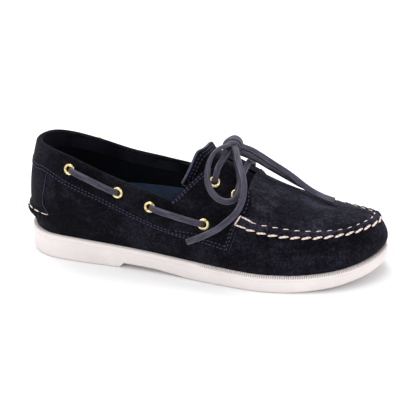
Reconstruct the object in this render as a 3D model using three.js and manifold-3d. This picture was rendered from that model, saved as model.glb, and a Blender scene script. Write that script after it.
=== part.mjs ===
// A moccasin-toed boat shoe for the right foot, standing empty on its sole.
// Frame: +X towards the toe, +Y towards the inner side of the foot, +Z up, millimetres.
// The origin is on the floor under the middle of the shoe.
// Everything is measured from one last: a closed ring of stations that runs from the middle of
// the heel along the outer side to the toe and back along the inner side. At each station the
// wall climbs from the featherline to the rim, and the top runs on from the rim to the ridge.
import * as THREE from "three";
import { mergeVertices } from "three/addons/utils/BufferGeometryUtils.js";
import Module from "manifold-3d";

const wasm = await Module();
wasm.setup();

// Driving dimensions
const SOLE_LENGTH = 300;
const WALL = 2.2;
const GAP = 0.35;
const WELT = 3.2;
const INSOLE_THICKNESS = 2.5;
const TONGUE_THICKNESS = 2.4;
const HEEL_BREAST = 4;
const BREAST_X = 90;
const EYELET_OUTER = 4.7;
const EYELET_HOLE = 2.5;
const EYELET_BORE = 3.3;
const LACE_RADIUS = 1.9;
const LACE_LIFT = 2.5;
const CROSSING_LIFT = 3.2;
const CROSSING_RISE = 2;
const CROSSING_START = 0.16;
const CROSSING_TOP = 1.9;
const LEG_START = 0.14;
const LEG_TOP = 1.65;
const LACE_SIDES = 8;
const KNOT = { x: 174, y: 0, z: 99, long: 6.5, wide: 6.5, high: 5.5 };
const THROAT_HALF = 19;
const THROAT_FRONT = 192;
const THROAT_CORNER = 9;
const CLEAR_ABOVE = 140;
const CLEAR_BELOW = -5;
const CUT_REACH = 80;
const SLOT_FLOOR = 52;
const ARCH_END = 150;
const SPRING_START = 225;
const COLLAR_END = 134;
const MOUTH_LAP = 5;
const RING_STEPS = 64;
const WALL_STEPS = 7;
const TOP_STEPS = 5;
const TONGUE_STEPS = 12;
const EYELET_SIDES = 12;

// x of the ridge or outline counts from the back of the heel
const part = (x, y, z) => new THREE.Vector3(x - SOLE_LENGTH / 2, y, z);

// Sole outline and featherline heights. outer and inner are the half widths of the two sides.
const OUTLINE = [
  { x: 0, outer: 0, inner: 0, top: 21 },
  { x: 7, outer: 20, inner: 20, top: 21 },
  { x: 24, outer: 33.5, inner: 33.5, top: 20.7 },
  { x: 50, outer: 38, inner: 37, top: 20.2 },
  { x: 80, outer: 39.5, inner: 35.5, top: 18.7 },
  { x: 110, outer: 41.5, inner: 33, top: 17 },
  { x: 140, outer: 45.5, inner: 34, top: 15.5 },
  { x: 170, outer: 50.5, inner: 40, top: 14.4 },
  { x: 200, outer: 54, inner: 48, top: 13.6 },
  { x: 220, outer: 53, inner: 52, top: 13.6 },
  { x: 240, outer: 49, inner: 53.5, top: 14 },
  { x: 263, outer: 40, inner: 50, top: 15.6 },
  { x: 282, outer: 26, inner: 41, top: 18 },
  { x: 295, outer: 8, inner: 27, top: 20.3 },
  { x: 300, outer: -10, inner: 10, top: 21 },
];

// The rim of the wall: the collar behind, the moccasin seam in front. One row per station.
const RIM = [
  { x: 10.5, outer: 0, inner: 0, outerZ: 95.5, innerZ: 95.5 },
  { x: 15, outer: 15, inner: 15, outerZ: 96, innerZ: 94.5 },
  { x: 28, outer: 25.5, inner: 24.5, outerZ: 94.8, innerZ: 91 },
  { x: 50, outer: 32, inner: 29, outerZ: 90, innerZ: 85 },
  { x: 79, outer: 34.5, inner: 31.5, outerZ: 79.5, innerZ: 76.8 },
  { x: 108, outer: 37.5, inner: 34.5, outerZ: 71.3, innerZ: 71 },
  { x: 137, outer: 40.5, inner: 38, outerZ: 63.5, innerZ: 64 },
  { x: 165, outer: 42.5, inner: 40.5, outerZ: 56.6, innerZ: 56.6 },
  { x: 190, outer: 43.5, inner: 42.5, outerZ: 49.5, innerZ: 49.5 },
  { x: 210, outer: 43, inner: 43.5, outerZ: 45, innerZ: 44 },
  { x: 231, outer: 41, inner: 42.5, outerZ: 43.4, innerZ: 40.5 },
  { x: 254, outer: 34, inner: 37, outerZ: 43, innerZ: 40.3 },
  { x: 274, outer: 22.5, inner: 27.5, outerZ: 44, innerZ: 42 },
  { x: 289, outer: 5, inner: 16.5, outerZ: 45, innerZ: 44 },
  { x: 292.5, outer: -8, inner: 8, outerZ: 45.2, innerZ: 45.2 },
];

// The ridge that each station's top runs to, and how the surface swells on the way.
// low and high push the wall outwards, shoulder flattens the top's arch.
const SWELL = [
  { ridge: 40, low: 4.4, high: 7, shoulder: 0.2 },
  { ridge: 41, low: 4.4, high: 6.5, shoulder: 0.2 },
  { ridge: 44, low: 4, high: 5.5, shoulder: 0.2 },
  { ridge: 55, low: 3, high: 4.5, shoulder: 0.2 },
  { ridge: 80, low: 2.6, high: 4, shoulder: 0.1 },
  { ridge: 108, low: 2.6, high: 3.5, shoulder: 0.05 },
  { ridge: 137, low: 3, high: 3.5, shoulder: 0.18 },
  { ridge: 165, low: 3.4, high: 3, shoulder: 0.2 },
  { ridge: 190, low: 4, high: 3, shoulder: 0.2 },
  { ridge: 209, low: 4.4, high: 3, shoulder: 0.2 },
  { ridge: 226, low: 4.6, high: 3.2, shoulder: 0.2 },
  { ridge: 241, low: 4.8, high: 3.4, shoulder: 0.2 },
  { ridge: 250, low: 5, high: 3.6, shoulder: 0.2 },
  { ridge: 255, low: 6, high: 4, shoulder: 0.2 },
  { ridge: 256, low: 6.4, high: 4.2, shoulder: 0.2 },
];

// The ridge line over the instep and the toe
const RIDGE = [
  { x: 130, y: 0, z: 103 },
  { x: 150, y: 0, z: 96 },
  { x: 170, y: 0, z: 87 },
  { x: 190, y: 0, z: 76.5 },
  { x: 210, y: 0.5, z: 66.8 },
  { x: 230, y: 2, z: 59 },
  { x: 250, y: 4, z: 53.6 },
  { x: 258, y: 5, z: 52 },
];

// Underside of the outsole along its length
const UNDERSIDE = [
  { x: 0, z: 0 },
  { x: BREAST_X - 2, z: 0 },
  { x: BREAST_X + 2, z: HEEL_BREAST },
  { x: 120, z: 3 },
  { x: ARCH_END, z: 0 },
  { x: SPRING_START, z: 0 },
  { x: 245, z: 1.1 },
  { x: 265, z: 3.2 },
  { x: 285, z: 6.6 },
  { x: 300, z: 10 },
];

// Side view of what is cut away behind the flaps and over the collar next to them
const FLAP_EDGE = [
  { x: 116, z: 77 },
  { x: 126, z: 68.6 },
  { x: 133, z: 66 },
  { x: 137, z: 67 },
  { x: 142, z: 72 },
  { x: 150, z: 81 },
  { x: 158.5, z: 86 },
  { x: 164, z: 95 },
  { x: 164, z: CLEAR_ABOVE },
  { x: 116, z: CLEAR_ABOVE },
];

// Arched sections of the tongue from its root under the plug to its free edge. half and drop are
// the arch's half width and depth, tilt leans its plane backwards, wrap is how far it curls round,
// and square below 1 makes its shoulders squarer.
const TONGUE = [
  { x: 206, z: 65.4, tilt: 22, half: 18, drop: 5, wrap: 50, square: 1 },
  { x: 190, z: 72.6, tilt: 25, half: 23, drop: 8.4, wrap: 54, square: 1 },
  { x: 177, z: 80, tilt: 28, half: 25, drop: 13.6, wrap: 62, square: 1 },
  { x: 168, z: 86, tilt: 30, half: 24.5, drop: 22, wrap: 72, square: 1 },
  { x: 161, z: 92, tilt: 31, half: 25, drop: 26, wrap: 78, square: 0.85 },
  { x: 154, z: 99, tilt: 29, half: 27.6, drop: 29, wrap: 84, square: 0.58 },
];

// Eyelets of one side from the heel forwards: four in the collar band and saddle, two on the flap
const EYELET_ROWS = [
  { name: "collar_1", x: 48, z: 80.4 },
  { name: "collar_2", x: 89, z: 65.8 },
  { name: "collar_3", x: 116.5, z: 57.5 },
  { name: "collar_4", x: 161, z: 49 },
  { name: "throat_1", x: 165.5, z: 77.6 },
  { name: "throat_2", x: 183.5, z: 69 },
];

// A smooth value between rows: Catmull-Rom over the row numbers
function spline(values, at) {
  const last = values.length - 1;
  const i = Math.min(Math.max(Math.floor(at), 0), last - 1);
  const f = at - i;
  const b = values[i];
  const c = values[i + 1];
  const a = i > 0 ? values[i - 1] : 2 * b - c;
  const d = i < last - 1 ? values[i + 2] : 2 * c - b;
  const slope = (c - a) / 2;
  const bend = a - 2.5 * b + 2 * c - d / 2;
  const twist = (d - a) / 2 + 1.5 * (b - c);
  return b + f * (slope + f * (bend + f * twist));
}

// Smooth lookup of one column against x
function eased(rows, x, column = "z") {
  const k = THREE.MathUtils.clamp(rows.filter((row) => row.x <= x).length, 1, rows.length - 1);
  const f = (x - rows[k - 1].x) / (rows[k].x - rows[k - 1].x);
  return spline(rows.map((row) => row[column]), k - 1 + THREE.MathUtils.clamp(f, 0, 1));
}

// One closed column of values for the whole ring: outer side forwards, inner side backwards
const LAST_ROW = OUTLINE.length - 1;
const RING = 2 * LAST_ROW;
function ringColumn(rows, outer, inner) {
  const forward = rows.map(outer);
  const back = rows.slice(1, LAST_ROW).reverse().map(inner);
  return [...forward, ...back];
}

function ringValue(column, turn) {
  const at = ((turn % RING) + RING) % RING;
  const i = Math.floor(at);
  const pick = (k) => column[(i + k + RING) % RING];
  return spline([pick(-1), pick(0), pick(1), pick(2)], 1 + at - i);
}

const COLUMNS = {
  edgeX: ringColumn(OUTLINE, (r) => r.x, (r) => r.x),
  edgeY: ringColumn(OUTLINE, (r) => -r.outer, (r) => r.inner),
  edgeZ: ringColumn(OUTLINE, (r) => r.top, (r) => r.top),
  rimX: ringColumn(RIM, (r) => r.x, (r) => r.x),
  rimY: ringColumn(RIM, (r) => -r.outer, (r) => r.inner),
  rimZ: ringColumn(RIM, (r) => r.outerZ, (r) => r.innerZ),
  ridge: ringColumn(SWELL, (r) => r.ridge, (r) => r.ridge),
  low: ringColumn(SWELL, (r) => r.low, (r) => r.low),
  high: ringColumn(SWELL, (r) => r.high, (r) => r.high),
  shoulder: ringColumn(SWELL, (r) => r.shoulder, (r) => r.shoulder),
};
const value = (name, turn) => ringValue(COLUMNS[name], turn);

// Behind the flaps the rim is the open collar, and the top over it is only a flat lid to cut away
const inCollar = (turn) => value("ridge", turn) < COLLAR_END;

// The sole's edge in plan, moved inwards by inset
function edge(turn, inset = 0) {
  const step = 0.02;
  const x = value("edgeX", turn);
  const y = value("edgeY", turn);
  const dx = value("edgeX", turn + step) - value("edgeX", turn - step);
  const dy = value("edgeY", turn + step) - value("edgeY", turn - step);
  const size = Math.hypot(dx, dy);
  return new THREE.Vector2(x - (inset * dy) / size, y + (inset * dx) / size);
}

// Outward direction of the plan outline
function outward(turn) {
  const inside = edge(turn, 1);
  return edge(turn, 0).sub(inside);
}

const bezier = (a, b, c, d, t) => {
  const s = 1 - t;
  return s * s * s * a + 3 * s * s * t * b + 3 * s * t * t * c + t * t * t * d;
};

// A point of the wall: climb runs from 0 at the featherline to 1 at the rim
function wallPoint(turn, climb) {
  const foot = edge(turn, WELT);
  const out = outward(turn);
  const low = value("low", turn);
  const high = value("high", turn);
  const rimX = value("rimX", turn);
  const rimY = value("rimY", turn);
  const rimZ = value("rimZ", turn);
  const footZ = value("edgeZ", turn) + GAP;
  const rise = rimZ - footZ;
  const x = bezier(foot.x, foot.x + out.x * low, rimX + out.x * high, rimX, climb);
  const y = bezier(foot.y, foot.y + out.y * low, rimY + out.y * high, rimY, climb);
  const z = bezier(footZ, footZ + rise * 0.33, rimZ - rise * 0.3, rimZ, climb);
  return part(x, y, z);
}

// A point of the top: inward runs from 0 at the rim to 1 at the ridge
function topPoint(turn, inward) {
  const rimX = value("rimX", turn);
  const rimY = value("rimY", turn);
  const rimZ = value("rimZ", turn);
  const ridgeX = value("ridge", turn);
  const rise = inCollar(turn) ? 0 : eased(RIDGE, ridgeX) - rimZ;
  const shoulder = value("shoulder", turn);
  const reach = bezier(0, shoulder, 0.5 + shoulder * 0.25, 1, inward);
  const x = THREE.MathUtils.lerp(rimX, ridgeX, reach);
  const ridgeY = inCollar(turn) ? 0 : eased(RIDGE, ridgeX, "y");
  const y = THREE.MathUtils.lerp(rimY, ridgeY, reach);
  return part(x, y, rimZ + bezier(0, rise * 0.6, rise, rise, inward));
}

// The whole surface of the last: v from 0 to 1 is the wall, from 1 to 2 the top
const lastPoint = (turn, v) => (v <= 1 ? wallPoint(turn, v) : topPoint(turn, v - 1));

// The outward normal there, from its two tangents
function lastNormal(turn, v) {
  const step = 0.04;
  const low = Math.max(v - step, 0);
  const high = Math.min(v + step, v <= 1 && inCollar(turn) ? 1 : 1.98);
  const round = lastPoint(turn + step, v).sub(lastPoint(turn - step, v));
  const up = lastPoint(turn, high).sub(lastPoint(turn, low));
  return round.cross(up).normalize();
}

// The last moved out along its normal, or in where depth is negative
const shifted = (turn, v, depth) => lastPoint(turn, v).addScaledVector(lastNormal(turn, v), depth);

// ---------------------------------------------------------------- solids

// A closed skin from rings of points. Each end is closed by strips from one side to the other.
function loftSolid(rings) {
  const size = rings[0].length;
  const positions = [];
  const triangles = [];
  const push = (p) => positions.push(p.x, p.y, p.z) / 3 - 1;
  const rows = rings.map((ring) => ring.map(push));
  const bottom = rows[0];
  const lid = rows.at(-1);
  for (let i = 0; i < size; i += 1) {
    const j = (i + 1) % size;
    for (let k = 0; k + 1 < rows.length; k += 1) {
      triangles.push(rows[k][i], rows[k][j], rows[k + 1][j]);
      triangles.push(rows[k][i], rows[k + 1][j], rows[k + 1][i]);
    }
  }
  for (let i = 0; i + 1 <= size - i - 1; i += 1) {
    const [near, next, across, back] = [i, i + 1, size - i - 1, (size - i) % size];
    if (next < across) {
      triangles.push(lid[near], lid[next], lid[across]);
      triangles.push(bottom[near], bottom[across], bottom[next]);
    }
    if (near !== back) {
      triangles.push(lid[near], lid[across], lid[back]);
      triangles.push(bottom[near], bottom[back], bottom[across]);
    }
  }
  const geometry = new THREE.BufferGeometry();
  geometry.setAttribute("position", new THREE.Float32BufferAttribute(positions, 3));
  geometry.setIndex(triangles);
  return geometry;
}

function toManifold(geometry) {
  const bare = geometry.clone();
  bare.deleteAttribute("normal");
  bare.deleteAttribute("uv");
  const merged = mergeVertices(bare, 1e-4);
  return new wasm.Manifold(new wasm.Mesh({
    numProp: 3,
    vertProperties: Float32Array.from(merged.attributes.position.array),
    triVerts: Uint32Array.from(merged.index.array),
  }));
}

function toGeometry(manifold) {
  const mesh = manifold.getMesh();
  const geometry = new THREE.BufferGeometry();
  geometry.setAttribute("position", new THREE.Float32BufferAttribute(mesh.vertProperties, 3));
  geometry.setIndex(Array.from(mesh.triVerts));
  return geometry;
}

const turns = (count) => Array.from({ length: count }, (_, i) => (i * RING) / count);
const steps = (count, from = 0, to = 1) =>
  Array.from({ length: count + 1 }, (_, i) => from + ((to - from) * i) / count);

// Prism from a plan outline, standing along Z
function standing(shape, bottom, top) {
  const geometry = new THREE.ExtrudeGeometry(shape, { depth: top - bottom, bevelEnabled: false });
  return geometry.translate(0, 0, bottom);
}

// Prism from a side outline of (x, z) points, running along Y through both sides
function sideways(points, halfWidth) {
  const shape = new THREE.Shape(points.map((p) => new THREE.Vector2(p.x - SOLE_LENGTH / 2, p.z)));
  const geometry = new THREE.ExtrudeGeometry(shape, { depth: 2 * halfWidth, bevelEnabled: false });
  return geometry.rotateX(Math.PI / 2).translate(0, halfWidth, 0);
}

// ---------------------------------------------------------------- outsole

// Side levels of the sole: how far each is drawn in, and its height up from the floor or
// down from the top edge
function soleRing(inset, height) {
  return turns(RING_STEPS).map((turn) => {
    const plan = edge(turn, inset);
    return part(plan.x, plan.y, height(value("edgeZ", turn)));
  });
}

function outsole() {
  const body = toManifold(loftSolid([
    soleRing(2, () => 0),
    soleRing(0.3, () => 1.8),
    soleRing(0, (top) => top - 3),
    soleRing(0.8, (top) => top),
  ]));
  const breast = UNDERSIDE.find((row) => row.z > 0);
  const arch = UNDERSIDE.filter((row) => row.x >= breast.x && row.x <= ARCH_END);
  const spring = UNDERSIDE.filter((row) => row.x >= SPRING_START);
  const cut = (rows, from, to) => {
    const start = [{ x: from, z: CLEAR_BELOW }, { x: from, z: rows[0].z }];
    const end = [{ x: to, z: rows.at(-1).z }, { x: to, z: CLEAR_BELOW }];
    return toManifold(sideways([...start, ...rows.slice(1), ...end], CUT_REACH));
  };
  const archCut = cut([{ x: BREAST_X, z: 0 }, ...arch], BREAST_X, ARCH_END);
  const springCut = cut(spring, SPRING_START, SOLE_LENGTH + 5);
  return toGeometry(body.subtract(archCut).subtract(springCut));
}

// ---------------------------------------------------------------- insole

// The footbed lies on the sole inside the wall
function insole() {
  const inset = WELT + WALL + 0.8;
  const level = (lift) => turns(RING_STEPS / 2).map((turn) => {
    const plan = edge(turn, inset);
    return part(plan.x, plan.y, value("edgeZ", turn) + lift);
  });
  return loftSolid([level(GAP), level(GAP + INSOLE_THICKNESS)]);
}

// ---------------------------------------------------------------- upper

// One ring of the last at height v, moved out or in by depth
const lastRing = (v, depth) => turns(RING_STEPS).map((turn) => shifted(turn, v, depth));

// The last as a solid whose surface lies depth away from it, with its foot lowered by drop
function lastSolid(depth, drop) {
  const foot = lastRing(0, depth).map((p) => p.setZ(p.z - drop));
  const walls = steps(WALL_STEPS, 0.04, 1).map((v) => lastRing(v, depth));
  const top = steps(TOP_STEPS, 1 / TOP_STEPS, 1).map((v) => lastRing(Math.min(1 + v, 1.985), depth));
  return toManifold(loftSolid([foot, ...walls, ...top]));
}

// What the foot goes in through: the inside of the collar's rim, carried straight up
function collarMouth() {
  const open = (turn) => value("ridge", turn) < COLLAR_END + MOUTH_LAP;
  const rim = turns(4 * RING_STEPS).filter(open).map((turn) => shifted(turn, 1, -WALL));
  const below = rim.map((p) => p.clone().setZ(p.z - 2 * WALL));
  const above = rim.map((p) => p.clone().setZ(CLEAR_ABOVE));
  return toManifold(loftSolid([below, above]));
}

// The slot between the flaps, with round front corners
function throatSlot() {
  const back = COLLAR_END - SOLE_LENGTH / 2;
  const front = THROAT_FRONT - SOLE_LENGTH / 2;
  const shape = new THREE.Shape();
  shape.moveTo(back, -THROAT_HALF);
  shape.lineTo(front - THROAT_CORNER, -THROAT_HALF);
  shape.absarc(front - THROAT_CORNER, THROAT_CORNER - THROAT_HALF, THROAT_CORNER, -Math.PI / 2, 0);
  shape.absarc(front - THROAT_CORNER, THROAT_HALF - THROAT_CORNER, THROAT_CORNER, 0, Math.PI / 2);
  shape.lineTo(back, THROAT_HALF);
  return toManifold(standing(shape, SLOT_FLOOR, CLEAR_ABOVE));
}

const EYELETS = [-1, 1].flatMap((side) => EYELET_ROWS.map((row) => (
  { name: `${row.name}_${side < 0 ? "outer" : "inner"}`, ...seat(row.x, row.z, side) })));

function upper() {
  const cloth = lastSolid(0, 0)
    .subtract(lastSolid(-WALL, 4))
    .subtract(collarMouth())
    .subtract(toManifold(sideways(FLAP_EDGE, CUT_REACH)))
    .subtract(throatSlot());
  return toGeometry(EYELETS.reduce((whole, eyelet) => whole.subtract(eyeletBore(eyelet)), cloth));
}

// ---------------------------------------------------------------- tongue

// One arched ring of the tongue, its outer face first and its lining side on the way back
function tongueRing(row) {
  const wrap = THREE.MathUtils.degToRad(row.wrap);
  const tilt = THREE.MathUtils.degToRad(row.tilt);
  const bow = (side) => Math.sign(side) * Math.abs(side) ** row.square;
  const height = row.drop / (1 - bow(Math.cos(wrap)));
  const arc = (inset) => steps(TONGUE_STEPS, -wrap, wrap).map((angle) => {
    const across = (row.half / bow(Math.sin(wrap)) - inset) * bow(Math.sin(angle));
    const down = height - (height - inset) * bow(Math.cos(angle));
    return part(row.x - down * Math.sin(tilt), across, row.z - down * Math.cos(tilt));
  });
  return [...arc(0), ...arc(TONGUE_THICKNESS).reverse()];
}

function tongue() {
  const column = (name, at) => spline(TONGUE.map((row) => row[name]), at);
  const rows = steps(12, 0, TONGUE.length - 1).map((at) => Object.fromEntries(
    Object.keys(TONGUE[0]).map((name) => [name, column(name, at)])));
  return toGeometry(toManifold(loftSolid(rows.map(tongueRing))));
}

// ---------------------------------------------------------------- eyelets

// The place on the last whose x and z are given, on the outer side (-1) or the inner side (1)
function seat(x, z, side) {
  const target = x - SOLE_LENGTH / 2;
  let turn = LAST_ROW / 2;
  let v = 0.8;
  const at = () => lastPoint(side < 0 ? turn : RING - turn, v);
  for (let pass = 0; pass < 60; pass += 1) {
    turn = THREE.MathUtils.clamp(turn + (target - at().x) * 0.02, 0.5, LAST_ROW);
    v = THREE.MathUtils.clamp(v + (z - at().z) * 0.008, 0.05, 1.9);
  }
  return { turn: side < 0 ? turn : RING - turn, v };
}

// Turns a shape that stands along Y onto the last's normal at a place
function standOn(geometry, place) {
  const point = lastPoint(place.turn, place.v);
  const normal = lastNormal(place.turn, place.v);
  const turned = new THREE.Quaternion().setFromUnitVectors(new THREE.Vector3(0, 1, 0), normal);
  return geometry.applyQuaternion(turned).translate(point.x, point.y, point.z);
}

const eyeletBore = (place) =>
  toManifold(standOn(new THREE.CylinderGeometry(EYELET_BORE, EYELET_BORE, 12, EYELET_SIDES), place));

// A rolled ring on a short barrel
function eyelet(place) {
  const barrel = EYELET_BORE - GAP;
  const profile = [
    [EYELET_HOLE, -WALL - 1],
    [barrel, -WALL - 1],
    [barrel, 0.6],
    [EYELET_OUTER, 0.6],
    [EYELET_OUTER - 0.2, 1.3],
    [(EYELET_OUTER + EYELET_HOLE) / 2, 1.9],
    [EYELET_HOLE + 0.2, 1.4],
    [EYELET_HOLE, -WALL - 1],
  ].map(([radius, height]) => new THREE.Vector2(radius, height));
  return toGeometry(toManifold(standOn(new THREE.LatheGeometry(profile, EYELET_SIDES), place)));
}

// ---------------------------------------------------------------- laces

// A round lace solid along a smooth route
function laceTube(points, count) {
  const route = new THREE.CatmullRomCurve3(points);
  const section = new THREE.Shape();
  section.absarc(0, 0, LACE_RADIUS, 0, 2 * Math.PI);
  return new THREE.ExtrudeGeometry(section, {
    steps: count,
    curveSegments: LACE_SIDES / 2,
    extrudePath: route,
    bevelEnabled: false,
  });
}

// Route over the last from one place to another, lift away from it, between two shares of the way
function overLast(from, to, lift, start, end, count) {
  return steps(count, start, end).map((f) => shifted(
    THREE.MathUtils.lerp(from.turn, to.turn, f), THREE.MathUtils.lerp(from.v, to.v, f), lift));
}

const eyeletNamed = (name) => EYELETS.find((eye) => eye.name === name);

// The stretch that shows between two eyelets of a side, from ring to ring
function sideLace(side, first, second) {
  const from = eyeletNamed(`collar_${first}_${side}`);
  const to = eyeletNamed(`collar_${second}_${side}`);
  const length = lastPoint(from.turn, from.v).distanceTo(lastPoint(to.turn, to.v));
  const clear = (EYELET_OUTER + 2 * GAP) / length;
  return laceTube(overLast(from, to, LACE_LIFT, clear, 1 - clear, 8), 8);
}

// From a flap's front eyelet up and over the throat to the one across
function crossingLace() {
  const sides = ["outer", "inner"].map((side) => {
    const eye = eyeletNamed(`throat_2_${side}`);
    return steps(4).map((f) => {
      const v = THREE.MathUtils.lerp(eye.v + CROSSING_START, CROSSING_TOP, f);
      return shifted(eye.turn, v, CROSSING_LIFT + CROSSING_RISE * f * f);
    });
  });
  return laceTube([...sides[0], ...sides[1].reverse()], 16);
}

// From a flap's rear eyelet up to the knot
function legLace(side) {
  const eye = eyeletNamed(`throat_1_${side}`);
  const sign = side === "outer" ? -1 : 1;
  const climb = [eye.v + LEG_START, LEG_TOP].map((v) => shifted(eye.turn, v, CROSSING_LIFT));
  const rest = LEG_REST.map(([x, y, z]) => part(x, sign * y, z));
  return laceTube([...climb, ...rest], 8);
}

// Where both legs go on, from above the flap to the knot
const LEG_REST = [[169, 13, 91.8], [171.3, 8.8, 95.6]];

const knot = () => new THREE.SphereGeometry(1, 14, 10)
  .scale(KNOT.long, KNOT.wide, KNOT.high)
  .translate(KNOT.x - SOLE_LENGTH / 2, KNOT.y, KNOT.z);

// Hand-laid routes of the bow's two loops and two ends, from the knot outwards
const route = (points) => points.map(([x, y, z]) => part(x, y, z));
const BOW = {
  loop_outer: route([
    [169.7, -11, 102.1], [166.4, -16, 101.6], [163.8, -22, 100], [162.3, -28, 96.5],
    [161.8, -32.5, 92.5], [162.1, -36.5, 88.2], [162.9, -39.3, 83.5], [164.9, -41.5, 78.9],
    [168.3, -43, 74.4], [173, -43.6, 70.9], [178.6, -43.3, 69.2], [183.3, -41, 69.8],
    [186.2, -37.4, 72.5], [186.9, -32, 76.4], [185.7, -26.2, 80.3], [183.4, -20, 84.5],
    [181.2, -15, 88.6], [179, -11, 92.1],
  ]),
  loop_inner: route([
    [180.1, 3, 92.2], [187.9, 6, 88.3], [194.3, 8.6, 84.2], [201, 10.8, 79.4],
    [207.6, 13.4, 74.6], [214.4, 16, 69.7], [220.4, 18.4, 65.2], [225.2, 21.8, 61.2],
    [227, 26.8, 58.6], [224.8, 32, 57.8], [219.4, 35.4, 59.6], [212, 35.4, 64.2],
    [204.5, 32, 70.4], [197.8, 27, 76.8], [191.4, 21.5, 83.1], [185.5, 16, 88.8], [179.6, 11, 93.4],
  ]),
  end_outer: route([
    [179.2, -11, 97.8], [181.8, -17, 94.6], [185.1, -23.5, 90.3], [188.6, -30, 86],
    [190.9, -36, 81.6], [191.8, -40.5, 77.7], [191.6, -44.6, 72.4], [189.6, -47.6, 66.3],
    [186.1, -49.6, 61.1], [180.3, -50.9, 55.4], [174.4, -51.6, 50], [167, -52.1, 45.2],
    [159.1, -52, 40.6], [149.1, -51, 35.4],
  ]),
  end_inner: route([
    [183.5, -0.5, 98.3], [188.7, 2, 95.6], [195, 4.6, 91], [201.5, 7.2, 85.8], [208, 9.8, 80.7],
    [214.7, 12.2, 75.6], [221.5, 13.4, 70.5], [228.9, 13.2, 64.8], [237.2, 11, 60.4],
    [246.2, 8.4, 57.5], [255.6, 6.5, 55.8],
  ]),
};

// ---------------------------------------------------------------- assembly

const FINISH = {
  suede: new THREE.MeshStandardMaterial({ color: 0x171922, roughness: 0.95, metalness: 0 }),
  rubber: new THREE.MeshStandardMaterial({ color: 0xe9dedb, roughness: 0.6, metalness: 0 }),
  footbed: new THREE.MeshStandardMaterial({ color: 0x2b3b58, roughness: 0.85, metalness: 0 }),
  brass: new THREE.MeshStandardMaterial({ color: 0xd8b95a, roughness: 0.25, metalness: 1 }),
  rawhide: new THREE.MeshStandardMaterial({ color: 0x4a4858, roughness: 0.75, metalness: 0 }),
};

const shoe = new THREE.Group();
function place(name, geometry, finish) {
  const mesh = new THREE.Mesh(geometry, finish);
  mesh.name = name;
  shoe.add(mesh);
}

place("outsole", outsole(), FINISH.rubber);
place("upper", upper(), FINISH.suede);
place("insole", insole(), FINISH.footbed);
place("tongue", tongue(), FINISH.suede);
for (const eye of EYELETS) place(`eyelet_${eye.name}`, eyelet(eye), FINISH.brass);
for (const side of ["outer", "inner"]) {
  place(`side_lace_rear_${side}`, sideLace(side, 1, 2), FINISH.rawhide);
  place(`side_lace_front_${side}`, sideLace(side, 3, 4), FINISH.rawhide);
  place(`throat_lace_leg_${side}`, legLace(side), FINISH.rawhide);
}
place("throat_lace_crossing", crossingLace(), FINISH.rawhide);
place("lace_knot", knot(), FINISH.rawhide);
place("lace_loop_outer", laceTube(BOW.loop_outer, 26), FINISH.rawhide);
place("lace_loop_inner", laceTube(BOW.loop_inner, 28), FINISH.rawhide);
place("lace_end_outer", laceTube(BOW.end_outer, 20), FINISH.rawhide);
place("lace_end_inner", laceTube(BOW.end_inner, 16), FINISH.rawhide);

export default shoe;
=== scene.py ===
import logging
import math
from dataclasses import dataclass, field
from enum import Enum
from typing import Sequence

import bmesh
import bpy
import numpy as np
from mathutils import Matrix, Vector


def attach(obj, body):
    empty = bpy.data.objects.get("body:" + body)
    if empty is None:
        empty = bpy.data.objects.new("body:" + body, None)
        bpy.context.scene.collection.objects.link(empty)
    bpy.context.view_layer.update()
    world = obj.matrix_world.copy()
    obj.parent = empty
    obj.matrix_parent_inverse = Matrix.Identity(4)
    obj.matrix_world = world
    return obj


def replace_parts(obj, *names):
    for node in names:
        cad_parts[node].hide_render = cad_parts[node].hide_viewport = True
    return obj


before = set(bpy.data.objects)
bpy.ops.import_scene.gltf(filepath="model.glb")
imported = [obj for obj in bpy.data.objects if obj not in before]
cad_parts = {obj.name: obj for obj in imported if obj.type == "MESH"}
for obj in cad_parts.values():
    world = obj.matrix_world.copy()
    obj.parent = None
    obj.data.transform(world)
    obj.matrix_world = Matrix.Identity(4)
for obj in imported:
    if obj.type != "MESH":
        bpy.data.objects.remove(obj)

LOG = logging.getLogger("boat_shoe")
MM = 0.001
HALF_LENGTH = 150.0
# turns of the last's ring: the whole way round, and from the heel to the toe
AROUND = 28.0
TOE = 14.0
# how far above and below the leather an eyelet's hole is cut
HOLE_ABOVE = 7.0
HOLE_BELOW = 1.3
Rows = Sequence[tuple[float, ...]]
Triple = tuple[float, float, float]
Colour = Triple
Array = np.ndarray


# ------------------------------------------------------------------ shader graphs


class Port:
    """A socket of a shader graph that Python's operators add Math nodes to."""

    def __init__(self, graph: "Graph", socket: bpy.types.NodeSocket) -> None:
        """Wraps one output socket."""
        self.graph = graph
        self.socket = socket

    def _math(self, operation: str, first: "Port | float", second: "Port | float") -> "Port":
        """Adds one Math node and returns its output."""
        return self.graph.node("Math", {"operation": operation}, {0: first, 1: second})

    def __add__(self, other: "Port | float") -> "Port":
        """Sum."""
        return self._math("ADD", self, other)

    __radd__ = __add__

    def __sub__(self, other: "Port | float") -> "Port":
        """Difference."""
        return self._math("SUBTRACT", self, other)

    def __rsub__(self, other: "Port | float") -> "Port":
        """Difference with the port on the right, so that 1 - mask works."""
        return self._math("SUBTRACT", other, self)

    def __mul__(self, other: "Port | float") -> "Port":
        """Product."""
        return self._math("MULTIPLY", self, other)

    __rmul__ = __mul__


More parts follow.
